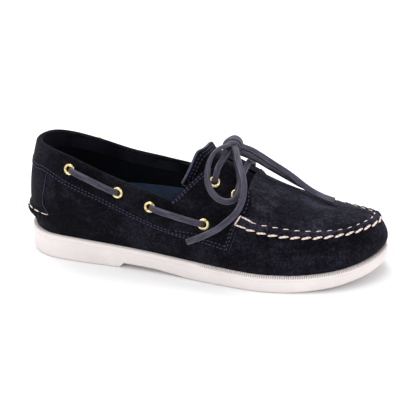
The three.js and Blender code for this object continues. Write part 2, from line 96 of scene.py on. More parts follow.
class Graph:
    """One material and the nodes that make it."""

    def __init__(self, name: str) -> None:
        """Starts a material with an empty graph.

        Args:
            name: the material's name.
        """
        self.material = bpy.data.materials.new(name)
        self.material.use_nodes = True
        self.tree = self.material.node_tree
        self.tree.nodes.clear()

    def node(self, kind: str, settings: dict | None = None, inputs: dict | None = None,
             output: int | str = 0) -> Port:
        """Adds any shader node.

        Args:
            kind: the node's type without its ShaderNode prefix.
            settings: the node's properties; "stops" fills a colour ramp.
            inputs: values or ports by socket name or number.
            output: which output to return.

        Returns:
            The output as a port.
        """
        made = self.tree.nodes.new("ShaderNode" + kind)
        for name, value in (settings or {}).items():
            if name == "stops":
                ramp = made.color_ramp.elements
                while len(ramp) < len(value):
                    ramp.new(0.5)
                for element, (place, colour) in zip(ramp, value):
                    element.position = place
                    element.color = (*colour, 1.0)
            else:
                setattr(made, name, value)
        for name, value in (inputs or {}).items():
            if isinstance(value, Port):
                self.tree.links.new(value.socket, made.inputs[name])
            else:
                made.inputs[name].default_value = value
        return Port(self, made.outputs[output])

    def place(self) -> Port:
        """Position on the shoe, in metres."""
        return self.node("TexCoord", output="Object")

    def along(self) -> Port:
        """The mesh's own grain: metres along, metres across, and a share for the finish."""
        return self.node("Attribute", {"attribute_name": "grain"}, output="Vector")

    def share(self) -> Port:
        """The grain's third number: a groove's depth, for painted shade, or a lace corner's
        share, for a painted highlight.
        """
        return self.node("SeparateXYZ", None, {"Vector": self.along()}, output="Z")

    def stretched(self, place: Port, scale: Triple) -> Port:
        """A place with its axes scaled."""
        return self.node("Mapping", {"vector_type": "POINT"}, {"Vector": place, "Scale": scale})

    def noise(self, place: Port, scale: float, detail: float = 2.0, rough: float = 0.5,
              warp: float = 0.0) -> Port:
        """Noise from 0 to 1.

        Args:
            place: where to look.
            scale: lumps in a metre.
            detail: octaves.
            rough: how strong the finer octaves are.
            warp: distortion.

        Returns:
            The noise value.
        """
        return self.node("TexNoise", None, {"Vector": place, "Scale": scale, "Detail": detail,
                                            "Roughness": rough, "Distortion": warp})

    def cells(self, place: Port, scale: float) -> Port:
        """Distance to the nearest edge of pebbled cells."""
        return self.node("TexVoronoi", {"feature": "DISTANCE_TO_EDGE"},
                         {"Vector": place, "Scale": scale})

    def ramp(self, value: Port, stops: Sequence[tuple[float, Colour]]) -> Port:
        """A colour for each value."""
        return self.node("ValToRGB", {"stops": stops}, {"Fac": value})

    def level(self, value: Port, low: float, high: float, to_low: float = 0.0,
              to_high: float = 1.0) -> Port:
        """A clamped, smoothed rescaling of a value."""
        return self.node("MapRange", {"interpolation_type": "SMOOTHSTEP"}, {
            "Value": value, "From Min": low, "From Max": high, "To Min": to_low,
            "To Max": to_high})

    def blend(self, share: Port | float, first: Port | Colour, second: Port | Colour) -> Port:
        """Colours mixed by a share of the second."""
        pair = [c if isinstance(c, Port) else (*c, 1.0) for c in (first, second)]
        return self.node("Mix", {"data_type": "RGBA", "blend_type": "MIX"},
                         {0: share, 6: pair[0], 7: pair[1]}, output=2)

    def bump(self, height: Port, distance: float, strength: float = 1.0,
             under: Port | None = None) -> Port:
        """A normal from a height.

        Args:
            height: the height field, in units of distance.
            distance: metres for a height of one.
            strength: share of the effect.
            under: a normal to bump further.

        Returns:
            The bumped normal.
        """
        inputs = {"Height": height, "Distance": distance, "Strength": strength}
        if under is not None:
            inputs["Normal"] = under
        return self.node("Bump", None, inputs)

    def surface(self, colour: Port | Colour, roughness: Port | float, normal: Port | None = None,
                **constants: float | Colour) -> bpy.types.Material:
        """Closes the graph with the shader.

        Args:
            colour: base colour.
            roughness: roughness.
            normal: bumped normal.
            constants: other inputs of the shader, with underscores for spaces.

        Returns:
            The finished material.
        """
        inputs = {"Base Color": colour if isinstance(colour, Port) else (*colour, 1.0),
                  "Roughness": roughness}
        if normal is not None:
            inputs["Normal"] = normal
        for name, value in constants.items():
            key = name.replace("_", " ")
            inputs[key] = (*value, 1.0) if isinstance(value, tuple) else value
        shader = self.node("BsdfPrincipled", None, inputs)
        end = self.tree.nodes.new("ShaderNodeOutputMaterial")
        self.tree.links.new(shader.socket, end.inputs["Surface"])
        return self.material


# ------------------------------------------------------------------ finishes


@dataclass(frozen=True)
class Suede:
    """Napped leather whose pile catches the light where it is brushed."""

    name: str
    dark: Colour = (0.0006, 0.0006, 0.0012)
    mid: Colour = (0.0028, 0.0026, 0.0050)
    pale: Colour = (0.0160, 0.0152, 0.0268)
    brushed: float = 0.45
    napped: float = 0.54
    sheen: float = 0.045

    def make(self) -> bpy.types.Material:
        """Builds the material: brushed patches, streaks, pile and sheen."""
        g = Graph(self.name)
        here = g.place()
        patches = g.noise(here, 34.0, 3.0, 0.55, 0.6)
        streaks = g.noise(g.stretched(here, (0.5, 1.0, 1.0)), 150.0, 4.0, 0.65, 0.8)
        pile = g.noise(here, 480.0, 6.0, 0.8)
        fibre = g.noise(here, 5200.0, 2.0, 0.6)
        brushed = g.level(patches * 0.6 + streaks * 0.4, 0.40, 0.62)
        share = brushed * self.brushed + g.level(pile, 0.40, 0.62) * self.napped
        colour = g.ramp(share, [(0.02, self.dark), (0.45, self.mid), (1.0, self.pale)])
        height = pile * 0.65 + fibre * 0.35
        soft = g.bump(g.noise(here, 90.0, 2.0), 0.0006, 0.35)
        normal = g.bump(height, 0.0004, 0.75, soft)
        rough = g.level(brushed, 0.0, 1.0, 0.96, 0.84)
        return g.surface(colour, rough, normal, Sheen_Weight=self.sheen, Sheen_Roughness=0.45,
                         Sheen_Tint=(0.62, 0.66, 0.90), Specular_IOR_Level=0.10)


@dataclass(frozen=True)
class CutEdge:
    """The raw fibrous edge of cut leather."""

    name: str
    dark: Colour = (0.020, 0.021, 0.036)
    pale: Colour = (0.090, 0.094, 0.150)

    def make(self) -> bpy.types.Material:
        """Builds the material: layered fibres with pale ends."""
        g = Graph(self.name)
        here = g.place()
        fibres = g.noise(here, 1900.0, 4.0, 0.7)
        worn = g.noise(here, 160.0, 2.0, 0.5)
        colour = g.ramp(fibres * 0.7 + worn * 0.3, [(0.34, self.dark), (0.66, self.pale)])
        return g.surface(colour, g.level(fibres, 0.3, 0.7, 0.95, 0.8),
                         g.bump(fibres, 0.0003, 0.7), Sheen_Weight=0.12, Specular_IOR_Level=0.2)


@dataclass(frozen=True)
class Lining:
    """Smooth dark lining leather with fine grain and rubbed patches."""

    name: str
    dark: Colour = (0.0012, 0.0013, 0.0024)
    pale: Colour = (0.0040, 0.0044, 0.0078)

    def make(self) -> bpy.types.Material:
        """Builds the material: pebbled grain that is rubbed where the foot slides."""
        g = Graph(self.name)
        here = g.place()
        grain = g.cells(here, 900.0)
        rubbed = g.noise(here, 45.0, 3.0, 0.5)
        colour = g.ramp(g.level(rubbed, 0.35, 0.7), [(0.0, self.dark), (1.0, self.pale)])
        return g.surface(colour, g.level(rubbed, 0.3, 0.7, 0.74, 0.55),
                         g.bump(g.level(grain, 0.0, 0.18), 0.00012, 0.6), Specular_IOR_Level=0.16)


@dataclass(frozen=True)
class Footbed:
    """Dyed blue sock leather, creased and a little darker where the foot rests."""

    name: str
    deep: Colour = (0.017, 0.030, 0.064)
    pale: Colour = (0.046, 0.078, 0.150)

    def make(self) -> bpy.types.Material:
        """Builds the material: grain, pores and worn patches."""
        g = Graph(self.name)
        here = g.place()
        grain = g.cells(here, 620.0)
        worn = g.noise(here, 26.0, 4.0, 0.6, 0.5)
        pores = g.noise(here, 2200.0, 2.0, 0.6)
        shade = g.level(worn, 0.3, 0.7) * 0.8 + pores * 0.2
        colour = g.ramp(shade, [(0.1, self.deep), (0.9, self.pale)])
        normal = g.bump(g.level(grain, 0.0, 0.2) * 0.7 + pores * 0.3, 0.00015, 0.7)
        return g.surface(colour, g.level(worn, 0.3, 0.7, 0.5, 0.66), normal)


@dataclass(frozen=True)
class PaleRubber:
    """Matt off-white rubber with mould texture, faint yellowing, dust specks and painted shade in
    the grooves between the teeth.
    """

    name: str
    clean: Colour = (0.86, 0.800, 0.780)
    shade: Colour = (0.80, 0.735, 0.715)
    # hollow is painted shade for the grooves between the rand's teeth
    hollow: Colour = (0.26, 0.22, 0.21)

    def make(self) -> bpy.types.Material:
        """Builds the material: soft mottling and a fine moulded grain."""
        g = Graph(self.name)
        here = g.place()
        cloud = g.noise(here, 30.0, 4.0, 0.6)
        grain = g.noise(here, 1700.0, 3.0, 0.6)
        specks = g.level(g.noise(here, 420.0, 2.0, 0.7), 0.70, 0.80)
        colour = g.ramp(g.level(cloud, 0.3, 0.7), [(0.0, self.shade), (1.0, self.clean)])
        specks_and_groove_shade = g.blend(specks * 0.35, colour, (0.46, 0.40, 0.38))
        # painted shade: darker where the grain's third number marks a groove between the teeth
        specks_and_groove_shade = g.blend(g.level(g.share(), 0.0001, 0.001) * 0.8, specks_and_groove_shade, self.hollow)
        return g.surface(specks_and_groove_shade, g.level(grain, 0.3, 0.7, 0.48, 0.64), g.bump(grain, 0.0001, 0.6),
                         Subsurface_Weight=0.06, Subsurface_Scale=0.002)


@dataclass(frozen=True)
class SoleTread:
    """The underside: the same rubber with wavy razor cuts across it."""

    name: str
    clean: Colour = (0.80, 0.715, 0.685)
    # cut is painted shade inside the razor slits
    cut: Colour = (0.40, 0.34, 0.32)

    def make(self) -> bpy.types.Material:
        """Builds the material: thin wavy slits every few millimetres."""
        g = Graph(self.name)
        here = g.place()
        waves = g.node("TexWave", {"wave_type": "BANDS", "bands_direction": "X",
                                   "wave_profile": "SIN"},
                       {"Vector": here, "Scale": 72.0, "Distortion": 5.5, "Detail": 0.0,
                        "Detail Scale": 1.4}, output="Fac")
        slit = g.level(waves, 0.0, 0.09, 1.0, 0.0)
        # painted shade: the slits are darkened towards the cut colour
        colour = g.blend(slit * 0.8, self.clean, self.cut)
        height = (1.0 - slit) + g.noise(here, 900.0, 2.0) * 0.1
        return g.surface(colour, g.level(waves, 0.0, 1.0, 0.62, 0.5), g.bump(height, 0.0006, 0.9))


@dataclass(frozen=True)
class Brass:
    """Polished brass with fine circular scratches and darker patches painted at random as dark
    reflections.
    """

    name: str
    bright: Colour = (0.92, 0.76, 0.40)
    painted_dark_reflection: Colour = (0.50, 0.34, 0.12)

    def make(self) -> bpy.types.Material:
        """Builds the material: metal with scratches and darker patches."""
        g = Graph(self.name)
        here = g.place()
        patches = g.noise(here, 420.0, 3.0, 0.6)
        scratch = g.noise(g.stretched(here, (1.0, 0.2, 1.0)), 5200.0, 2.0, 0.5)
        # painted reflection: random darker patches stand in for the dark surroundings that
        # polished metal reflects
        colour = g.ramp(g.level(patches, 0.34, 0.66), [(0.0, self.painted_dark_reflection), (0.55, self.bright)])
        return g.surface(colour, g.level(scratch, 0.3, 0.7, 0.20, 0.34),
                         g.bump(scratch, 0.00004, 0.5), Metallic=1.0)


@dataclass(frozen=True)
class Rawhide:
    """Waxed rawhide lace whose faces are drawn lengthwise, with a painted highlight along its
    rounded edges.
    """

    name: str
    dark: Colour = (0.013, 0.012, 0.022)
    mid: Colour = (0.040, 0.037, 0.060)
    pale: Colour = (0.125, 0.118, 0.165)

    def make(self) -> bpy.types.Material:
        """Builds the material: lengthwise drag lines, patches and waxy gloss."""
        g = Graph(self.name)
        drag = g.noise(g.stretched(g.along(), (0.06, 1.0, 1.0)), 1900.0, 4.0, 0.65)
        patches = g.noise(g.stretched(g.along(), (0.4, 1.0, 1.0)), 150.0, 3.0, 0.5)
        corner = g.share()
        share = g.level(drag, 0.32, 0.70) * 0.55 + g.level(patches, 0.35, 0.65) * 0.30
        # painted highlight: paler at the section's rounded corners
        share = share + g.level(corner, 0.0006, 0.001) * 0.28
        colour = g.ramp(share, [(0.08, self.dark), (0.5, self.mid), (1.0, self.pale)])
        normal = g.bump(drag, 0.00028, 0.75, g.bump(patches, 0.0005, 0.3))
        return g.surface(colour, g.level(patches, 0.3, 0.7, 0.66, 0.50), normal,
                         Specular_IOR_Level=0.35, Sheen_Weight=0.08)


@dataclass(frozen=True)
class Thread:
    """Plied thread: the twist shows as slanted ridges along each stitch."""

    name: str
    # hollow is painted shade in the grooves between the plies
    hollow: Colour
    pale: Colour
    plies: float = 1150.0
    gloss: float = 0.55

    def make(self) -> bpy.types.Material:
        """Builds the material: slanted plies and stray fibres."""
        g = Graph(self.name)
        slanted = g.node("Mapping", {"vector_type": "POINT"}, {
            "Vector": g.along(), "Rotation": (0.0, 0.0, math.radians(38.0))})
        plies = g.node("TexWave", {"wave_type": "BANDS", "bands_direction": "X"},
                       {"Vector": slanted, "Scale": self.plies / (2.0 * math.pi),
                        "Distortion": 0.6}, output="Fac")
        fuzz = g.noise(g.place(), 2600.0, 3.0, 0.6)
        share = plies * 0.7 + fuzz * 0.3
        # painted shade: darker in the ply grooves, where the bump is low
        colour = g.ramp(share, [(0.12, self.hollow), (0.6, self.pale)])
        return g.surface(colour, g.level(fuzz, 0.2, 0.8, self.gloss, self.gloss + 0.25),
                         g.bump(share, 0.00025, 0.8), Sheen_Weight=0.1)


@dataclass(frozen=True)
class Paper:
    """The pale studio floor."""

    name: str
    colour: Colour = (0.93, 0.93, 0.93)
    glow: float = 0.45

    def make(self) -> bpy.types.Material:
        """Builds the material: faint tooth and almost no gloss."""
        g = Graph(self.name)
        tooth = g.noise(g.place(), 500.0, 2.0)
        colour = g.ramp(tooth, [(0.0, tuple(0.985 * c for c in self.colour)), (1.0, self.colour)])
        away = g.node("VectorMath", {"operation": "LENGTH"}, {0: g.place()}, output="Value")
        glow = g.ramp(g.level(away, 0.08, 1.1), [(0.0, (0.0, 0.0, 0.0)), (1.0, (1.0, 1.0, 1.0))])
        return g.surface(colour, 0.9, g.bump(tooth, 0.00005, 0.2), Specular_IOR_Level=0.1,
                         Emission_Color=glow, Emission_Strength=self.glow)


class Finish(Enum):
    """Every finish on the shoe, by what it is."""

    UPPER = Suede("upper_suede")
    # the upper's suede painted lighter, standing in for the top light on the up-facing plug and
    # moccasin ridge
    PLUG_PAINTED_LIGHTER = Suede("plug_suede_painted_lighter", mid=(0.0072, 0.0068, 0.0120), pale=(0.029, 0.0275, 0.045),
                 brushed=0.54, sheen=0.07)
    SADDLE = Suede("saddle_suede", brushed=0.306)
    TONGUE = Suede("tongue_suede", brushed=0.36)
    EDGE = CutEdge("cut_edge")
    LINING = Lining("lining_leather")
    # lighter than the lining, partly its own paler leather and partly painted highlight along the
    # collar's inner rim
    FACING = Lining("facing_leather", dark=(0.0030, 0.0031, 0.0056),
                    pale=(0.0125, 0.0125, 0.0200))
    FOOTBED = Footbed("footbed_leather")
    RUBBER = PaleRubber("sole_rubber")
    TREAD = SoleTread("sole_tread")
    BRASS = Brass("brass_ring")
    LACE = Rawhide("rawhide_lace")
    CREAM = Thread("cream_thread", (0.56, 0.42, 0.36), (0.88, 0.74, 0.66), plies=900.0)
    NAVY = Thread("navy_thread", (0.007, 0.0065, 0.022), (0.024, 0.022, 0.072), plies=2400.0)
    FLOOR = Paper("studio_floor")


class Wardrobe:
    """Makes each finish once and hands it out."""

    def __init__(self) -> None:
        """Starts empty."""
        self.made: dict[Finish, bpy.types.Material] = {}

    def __getitem__(self, finish: Finish) -> bpy.types.Material:
        """The material of a finish."""
        if finish not in self.made:
            self.made[finish] = finish.value.make()
        return self.made[finish]


WARDROBE = Wardrobe()


# ------------------------------------------------------------------ meshes


class Skin:
    """Collects grids of points into one mesh, with a finish for each face."""

    def __init__(self, name: str, *finishes: Finish) -> None:
        """Starts a mesh.

        Args:
            name: the piece's name.
            finishes: its finishes; a face's kind is its place in this list.
        """
        self.name = name
        self.finishes = finishes
        self.points: list[Array] = []
        self.grain: list[Array] = []
        self.faces: list[Array] = []
        self.kinds: list[Array] = []
        self.ngons: list[tuple[list[int], int]] = []
        self.count = 0

    def sheet(self, points: Array, grain: Array | None = None, kind: int | Array = 0,
              ring: bool = False, tube: bool = False) -> Array:
        """Adds a grid of quads.

        Args:
            points: rows by columns by 3, millimetres.
            grain: millimetres along and across, and a share the finish may use.
            kind: finish number, one or one for each face.
            ring: joins the last row to the first.
            tube: joins the last column to the first.

        Returns:
            The grid of vertex numbers.
        """
        n, m = points.shape[:2]
        index = np.arange(n * m).reshape(n, m) + self.count
        rows = np.arange(n if ring else n - 1)
        columns = np.arange(m if tube else m - 1)
        corner = [index[np.ix_((rows + i) % n, (columns + j) % m)]
                  for i, j in ((0, 0), (1, 0), (1, 1), (0, 1))]
        quads = np.stack(corner, -1).reshape(-1, 4)
        self.points.append(points.reshape(-1, 3))
        if grain is None:
            grain = points[..., :2]
        parts = grain.shape[-1]
        self.grain.append(np.pad(grain.reshape(-1, parts), ((0, 0), (0, 3 - parts))))
        self.faces.append(quads)
        self.kinds.append(np.broadcast_to(np.asarray(kind).reshape(-1), (len(quads),)).copy()
                          if np.ndim(kind) else np.full(len(quads), kind))
        self.count += n * m
        return index

    def cap(self, numbers: Sequence[int], kind: int = 0) -> None:
        """Closes a loop of vertices with one face."""
        self.ngons.append(([int(i) for i in numbers], kind))

    def close_ends(self, index: Array) -> None:
        """Closes both ends of a tube."""
        self.cap(index[0])
        self.cap(index[-1][::-1])

    def build(self, slot: str, holes: Sequence["Seat"] = (), hole_radius: float = 3.5,
              sharp: float = 40.0, weld: bool = True) -> bpy.types.Object:
        """Makes the object.

        Args:
            slot: not used.
            holes: seats of eyelets, where faces are left out.
            hole_radius: how wide each hole is, millimetres.
            sharp: edges sharper than this many degrees stay hard.
            weld: joins coincident points.

        Returns:
            The object, riding on the shoe.
        """
        points = np.concatenate(self.points)
        faces = np.concatenate(self.faces)
        kinds = np.concatenate(self.kinds)
        if holes:
            centres = points[faces].mean(axis=1)
            keep = np.ones(len(faces), bool)
            for seat in holes:
                away = centres - seat.point
                depth = away @ seat.normal
                flat = np.linalg.norm(away - depth[:, None] * seat.normal, axis=1)
                keep &= ~((flat < hole_radius) & (depth > -HOLE_BELOW) & (depth < HOLE_ABOVE))
            faces, kinds = faces[keep], kinds[keep]
        polygons = [*faces.tolist(), *(loop for loop, _ in self.ngons)]
        mesh = bpy.data.meshes.new(self.name)
        mesh.from_pydata((points * MM).tolist(), [], polygons)
        mesh.polygons.foreach_set("material_index",
                                  [*kinds.tolist(), *(kind for _, kind in self.ngons)])
        grain = mesh.attributes.new("grain", "FLOAT_VECTOR", "POINT")
        grain.data.foreach_set("vector", (np.concatenate(self.grain) * MM).ravel())
        for finish in self.finishes:
            mesh.materials.append(WARDROBE[finish])
        work = bmesh.new()
        work.from_mesh(mesh)
        if weld:
            bmesh.ops.remove_doubles(work, verts=work.verts, dist=1e-6)
        bmesh.ops.dissolve_degenerate(work, edges=work.edges, dist=1e-7)
        loose = [v for v in work.verts if not v.link_faces]
        bmesh.ops.delete(work, geom=loose, context="VERTS")
        bmesh.ops.recalc_face_normals(work, faces=work.faces)
        work.to_mesh(mesh)
        work.free()
        mesh.shade_smooth()
        mesh.set_sharp_from_angle(angle=math.radians(sharp))
        piece = bpy.data.objects.new(self.name, mesh)
        bpy.context.scene.collection.objects.link(piece)
        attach(piece, "root")
        LOG.info("%s: %d faces", self.name, len(mesh.polygons))
        return piece


def smooth(values: Array, at: Array) -> Array:
    """Catmull-Rom through rows of values.

    Args:
        values: one row for each station.
        at: where to look, counted in rows.

    Returns:
        The values there.
    """
    values = np.asarray(values, float)
    at = np.asarray(at, float)
    last = len(values) - 1
    i = np.clip(np.floor(at).astype(int), 0, last - 1)
    f = (at - i).reshape(at.shape + (1,) * (values.ndim - 1))
    b, c = values[i], values[i + 1]
    inner = (i > 0).reshape(f.shape)
    outer = (i < last - 1).reshape(f.shape)
    a = np.where(inner, values[np.maximum(i - 1, 0)], 2 * b - c)
    d = np.where(outer, values[np.minimum(i + 2, last)], 2 * c - b)
    return b + f * ((c - a) / 2 + f * (a - 2.5 * b + 2 * c - d / 2
                                       + f * ((d - a) / 2 + 1.5 * (b - c))))


def step(value: Array, low: float, high: float) -> Array:
    """Smooth step from 0 at low to 1 at high."""
    f = np.clip((value - low) / (high - low), 0.0, 1.0)
    return f * f * (3.0 - 2.0 * f)


def unit(vectors: Array) -> Array:
    """Vectors made one long."""
    return vectors / np.maximum(np.linalg.norm(vectors, axis=-1, keepdims=True), 1e-9)


def lengths(points: Array) -> Array:
    """Distance along a path at each of its points."""
    return np.concatenate([[0.0], np.cumsum(np.linalg.norm(np.diff(points, axis=0), axis=1))])


def between(points: Array, stations: Array, at: Array | float) -> Array:
    """Points along a path, straight from each station to the next."""
    return np.stack([np.interp(at, stations, column) for column in points.T], -1)


def looked_up(rows: Rows, at: Array, column: int = 1) -> Array:
    """A table's column, smoothly, where its first column has the given values."""
    table = np.array(rows, float)
    return smooth(table[:, column], np.interp(at, table[:, 0], np.arange(len(table))))


def from_heel(turn: Array) -> Array:
    """Turns away from the heel, alike on both sides."""
    return np.where(turn > TOE, AROUND - turn, turn)


def part_frame(points: Rows) -> Array:
    """Points counted from the back of the heel, moved to the part's own origin."""
    return np.array(points, float) - [HALF_LENGTH, 0.0, 0.0]


def bezier(a: Array, b: Array, c: Array, d: Array, t: Array) -> Array:
    """Cubic Bezier."""
    s = 1.0 - t
    return s**3 * a + 3 * s * s * t * b + 3 * s * t * t * c + t**3 * d


# ------------------------------------------------------------------ the last


@dataclass(frozen=True)
class Seat:
    """A place on the last with its point and outward normal, millimetres."""

    turn: float
    climb: float
    point: Array
    normal: Array


@dataclass
class Last:
    """The form the shoe is made on: stations round a ring, each with a wall and a top.

    A turn runs from 0 at the heel along the outer side to the toe and back along the inner
    side. A climb runs from 0 at the featherline to 1 at the rim, and on to 2 at the ridge.
    """

    welt: float = 3.2
    gap: float = 0.35
    wall: float = 2.2
    collar_end: float = 134.0
    # x, outer, inner, top of the sole
    outline: Rows = (
        (0, 0, 0, 21), (7, 20, 20, 21), (24, 33.5, 33.5, 20.7), (50, 38, 37, 20.2),
        (80, 39.5, 35.5, 18.7), (110, 41.5, 33, 17), (140, 45.5, 34, 15.5),
        (170, 50.5, 40, 14.4), (200, 54, 48, 13.6), (220, 53, 52, 13.6), (240, 49, 53.5, 14),
        (263, 40, 50, 15.6), (282, 26, 41, 18), (295, 8, 27, 20.3), (300, -10, 10, 21))
    # x, outer, inner, outer height, inner height
    rim: Rows = (
        (10.5, 0, 0, 95.5, 95.5), (15, 15, 15, 96, 94.5), (28, 25.5, 24.5, 94.8, 91),
        (50, 32, 29, 90, 85), (79, 34.5, 31.5, 79.5, 76.8), (108, 37.5, 34.5, 71.3, 71),
        (137, 40.5, 38, 63.5, 64), (165, 42.5, 40.5, 56.6, 56.6), (190, 43.5, 42.5, 49.5, 49.5),
        (210, 43, 43.5, 45, 44), (231, 41, 42.5, 43.4, 40.5), (254, 34, 37, 43, 40.3),
        (274, 22.5, 27.5, 44, 42), (289, 5, 16.5, 45, 44), (292.5, -8, 8, 45.2, 45.2))
    # x of the ridge, low swell, high swell, shoulder
    swell: Rows = (
        (40, 4.4, 7, 0.2), (41, 4.4, 6.5, 0.2), (44, 4, 5.5, 0.2), (55, 3, 4.5, 0.2),
        (80, 2.6, 4, 0.1), (108, 2.6, 3.5, 0.05), (137, 3, 3.5, 0.18), (165, 3.4, 3, 0.2),
        (190, 4, 3, 0.2), (209, 4.4, 3, 0.2), (226, 4.6, 3.2, 0.2), (241, 4.8, 3.4, 0.2),
        (250, 5, 3.6, 0.2), (255, 6, 4, 0.2), (256, 6.4, 4.2, 0.2))
    # x, y, height
    ridge: Rows = (
        (130, 0, 103), (150, 0, 96), (170, 0, 87), (190, 0, 76.5), (210, 0.5, 66.8),
        (230, 2, 59), (250, 4, 53.6), (258, 5, 52))
    columns: dict[str, Array] = field(default_factory=dict)

    def __post_init__(self) -> None:
        """Lays each column of the tables round the ring."""
        self.front = len(self.outline) - 1
        self.turns = 2 * self.front
        for name, rows in (("edge", self.outline), ("rim", self.rim)):
            xs = [r[0] for r in rows]
            self.columns[f"{name}_x"] = self._ring(xs, xs)
            self.columns[f"{name}_y"] = self._ring([-r[1] for r in rows], [r[2] for r in rows])
            self.columns[f"{name}_z"] = self._ring([r[3] for r in rows], [r[-1] for r in rows])
        for k, name in enumerate(("ridge_x", "low", "high", "shoulder")):
            column = [r[k] for r in self.swell]
            self.columns[name] = self._ring(column, column)

    def _ring(self, outer: list[float], inner: list[float]) -> Array:
        """One column for the whole ring from its two sides."""
        return np.array(outer + inner[1:self.front][::-1], float)

    def value(self, name: str, turn: Array) -> Array:
        """A column's value at each turn."""
        column = self.columns[name]
        wide = np.concatenate([column[-2:], column, column[:3]])
        return smooth(wide, np.mod(np.asarray(turn, float), self.turns) + 2.0)

    def eased(self, x: Array, column: int) -> Array:
        """The ridge line's y or height at x."""
        return looked_up(self.ridge, x, column)

    def edge(self, turn: Array, inset: float = 0.0) -> tuple[Array, Array, Array, Array]:
        """The sole's plan outline.

        Args:
            turn: where on the ring.
            inset: how far inside the outline.

        Returns:
            x, y and the outward direction's x and y.
        """
        h = 0.02
        dx = self.value("edge_x", turn + h) - self.value("edge_x", turn - h)
        dy = self.value("edge_y", turn + h) - self.value("edge_y", turn - h)
        size = np.hypot(dx, dy)
        out_x, out_y = dy / size, -dx / size
        return (self.value("edge_x", turn) - inset * out_x,
                self.value("edge_y", turn) - inset * out_y, out_x, out_y)

    def in_collar(self, turn: Array) -> Array:
        """True behind the flaps, where the rim is the open collar."""
        return self.value("ridge_x", turn) < self.collar_end

    def point(self, turn: Array, climb: Array) -> Array:
        """Points of the last's surface."""
        turn, climb = np.broadcast_arrays(np.asarray(turn, float), np.asarray(climb, float))
        fx, fy, ox, oy = self.edge(turn, self.welt)
        low, high = self.value("low", turn), self.value("high", turn)
        rx, ry, rz = (self.value(k, turn) for k in ("rim_x", "rim_y", "rim_z"))
        fz = self.value("edge_z", turn) + self.gap
        rise = rz - fz
        w = np.clip(climb, 0.0, 1.0)
        wall = np.stack([
            bezier(fx, fx + ox * low, rx + ox * high, rx, w) - HALF_LENGTH,
            bezier(fy, fy + oy * low, ry + oy * high, ry, w),
            bezier(fz, fz + rise * 0.33, rz - rise * 0.3, rz, w)], -1)
        u = np.clip(climb - 1.0, 0.0, 1.0)
        gx = self.value("ridge_x", turn)
        collar = self.in_collar(turn)
        up = np.where(collar, 0.0, self.eased(gx, 2) - rz)
        gy = np.where(collar, 0.0, self.eased(gx, 1))
        shoulder = self.value("shoulder", turn)
        reach = bezier(0.0, shoulder, 0.5 + shoulder * 0.25, 1.0, u)
        top = np.stack([rx + (gx - rx) * reach - HALF_LENGTH, ry + (gy - ry) * reach,
                        rz + bezier(0.0, up * 0.6, up, up, u)], -1)
        return np.where((climb <= 1.0)[..., None], wall, top)

    def normal(self, turn: Array, climb: Array) -> Array:
        """Outward normals there."""
        turn, climb = np.broadcast_arrays(np.asarray(turn, float), np.asarray(climb, float))
        h = 0.04
        low = np.maximum(climb - h, 0.0)
        high = np.minimum(climb + h, np.where((climb <= 1.0) & self.in_collar(turn), 1.0, 1.98))
        low = np.minimum(low, high - h)
        round_ = self.point(turn + h, climb) - self.point(turn - h, climb)
        return unit(np.cross(round_, self.point(turn, high) - self.point(turn, low)))

    def lifted(self, turn: Array, climb: Array, lift: Array | float) -> Array:
        """The surface moved out along its normal."""
        lift = np.asarray(lift, float)
        return self.point(turn, climb) + self.normal(turn, climb) * lift[..., None]

    def seat(self, x: float, z: float, side: "Side") -> Seat:
        """The place on one side that has a given x and height."""
        turn, climb = self.front / 2.0, 0.8
        for _ in range(60):
            here = self.point(side.turn(turn), climb)
            turn = float(np.clip(turn + (x - HALF_LENGTH - here[0]) * 0.02, 0.5, self.front))
            climb = float(np.clip(climb + (z - here[2]) * 0.008, 0.05, 1.9))
        at = side.turn(turn)
        return Seat(at, climb, self.point(at, climb), self.normal(at, climb))


class Side(Enum):
    """The shoe's two sides."""

    OUTER = "outer"
    INNER = "inner"

    @property
    def sign(self) -> float:
        """-1 on the outer side, which lies towards -Y."""
        return -1.0 if self is Side.OUTER else 1.0

    def turn(self, turn: Array) -> Array:
        """A turn counted from the heel along this side."""
        return turn if self is Side.OUTER else AROUND - np.asarray(turn)


LAST = Last()


# ------------------------------------------------------------------ stitches


@dataclass(frozen=True)
class Stitch:
    """The size of one visible stitch and the pitch of its row, millimetres."""

    length: float
    width: float
    height: float
    pitch: float
    slant: float = 0.0
    sink: float = 0.35


CREAM_BOLD = Stitch(8.9, 1.95, 1.3, 8.5, slant=1.0, sink=0.35)
CREAM_FINE = Stitch(5.4, 1.35, 0.9, 8.5, slant=0.4)
CREAM_LONG = Stitch(8.6, 1.3, 0.9, 8.9)
NAVY_FINE = Stitch(2.3, 0.85, 0.55, 3.1)


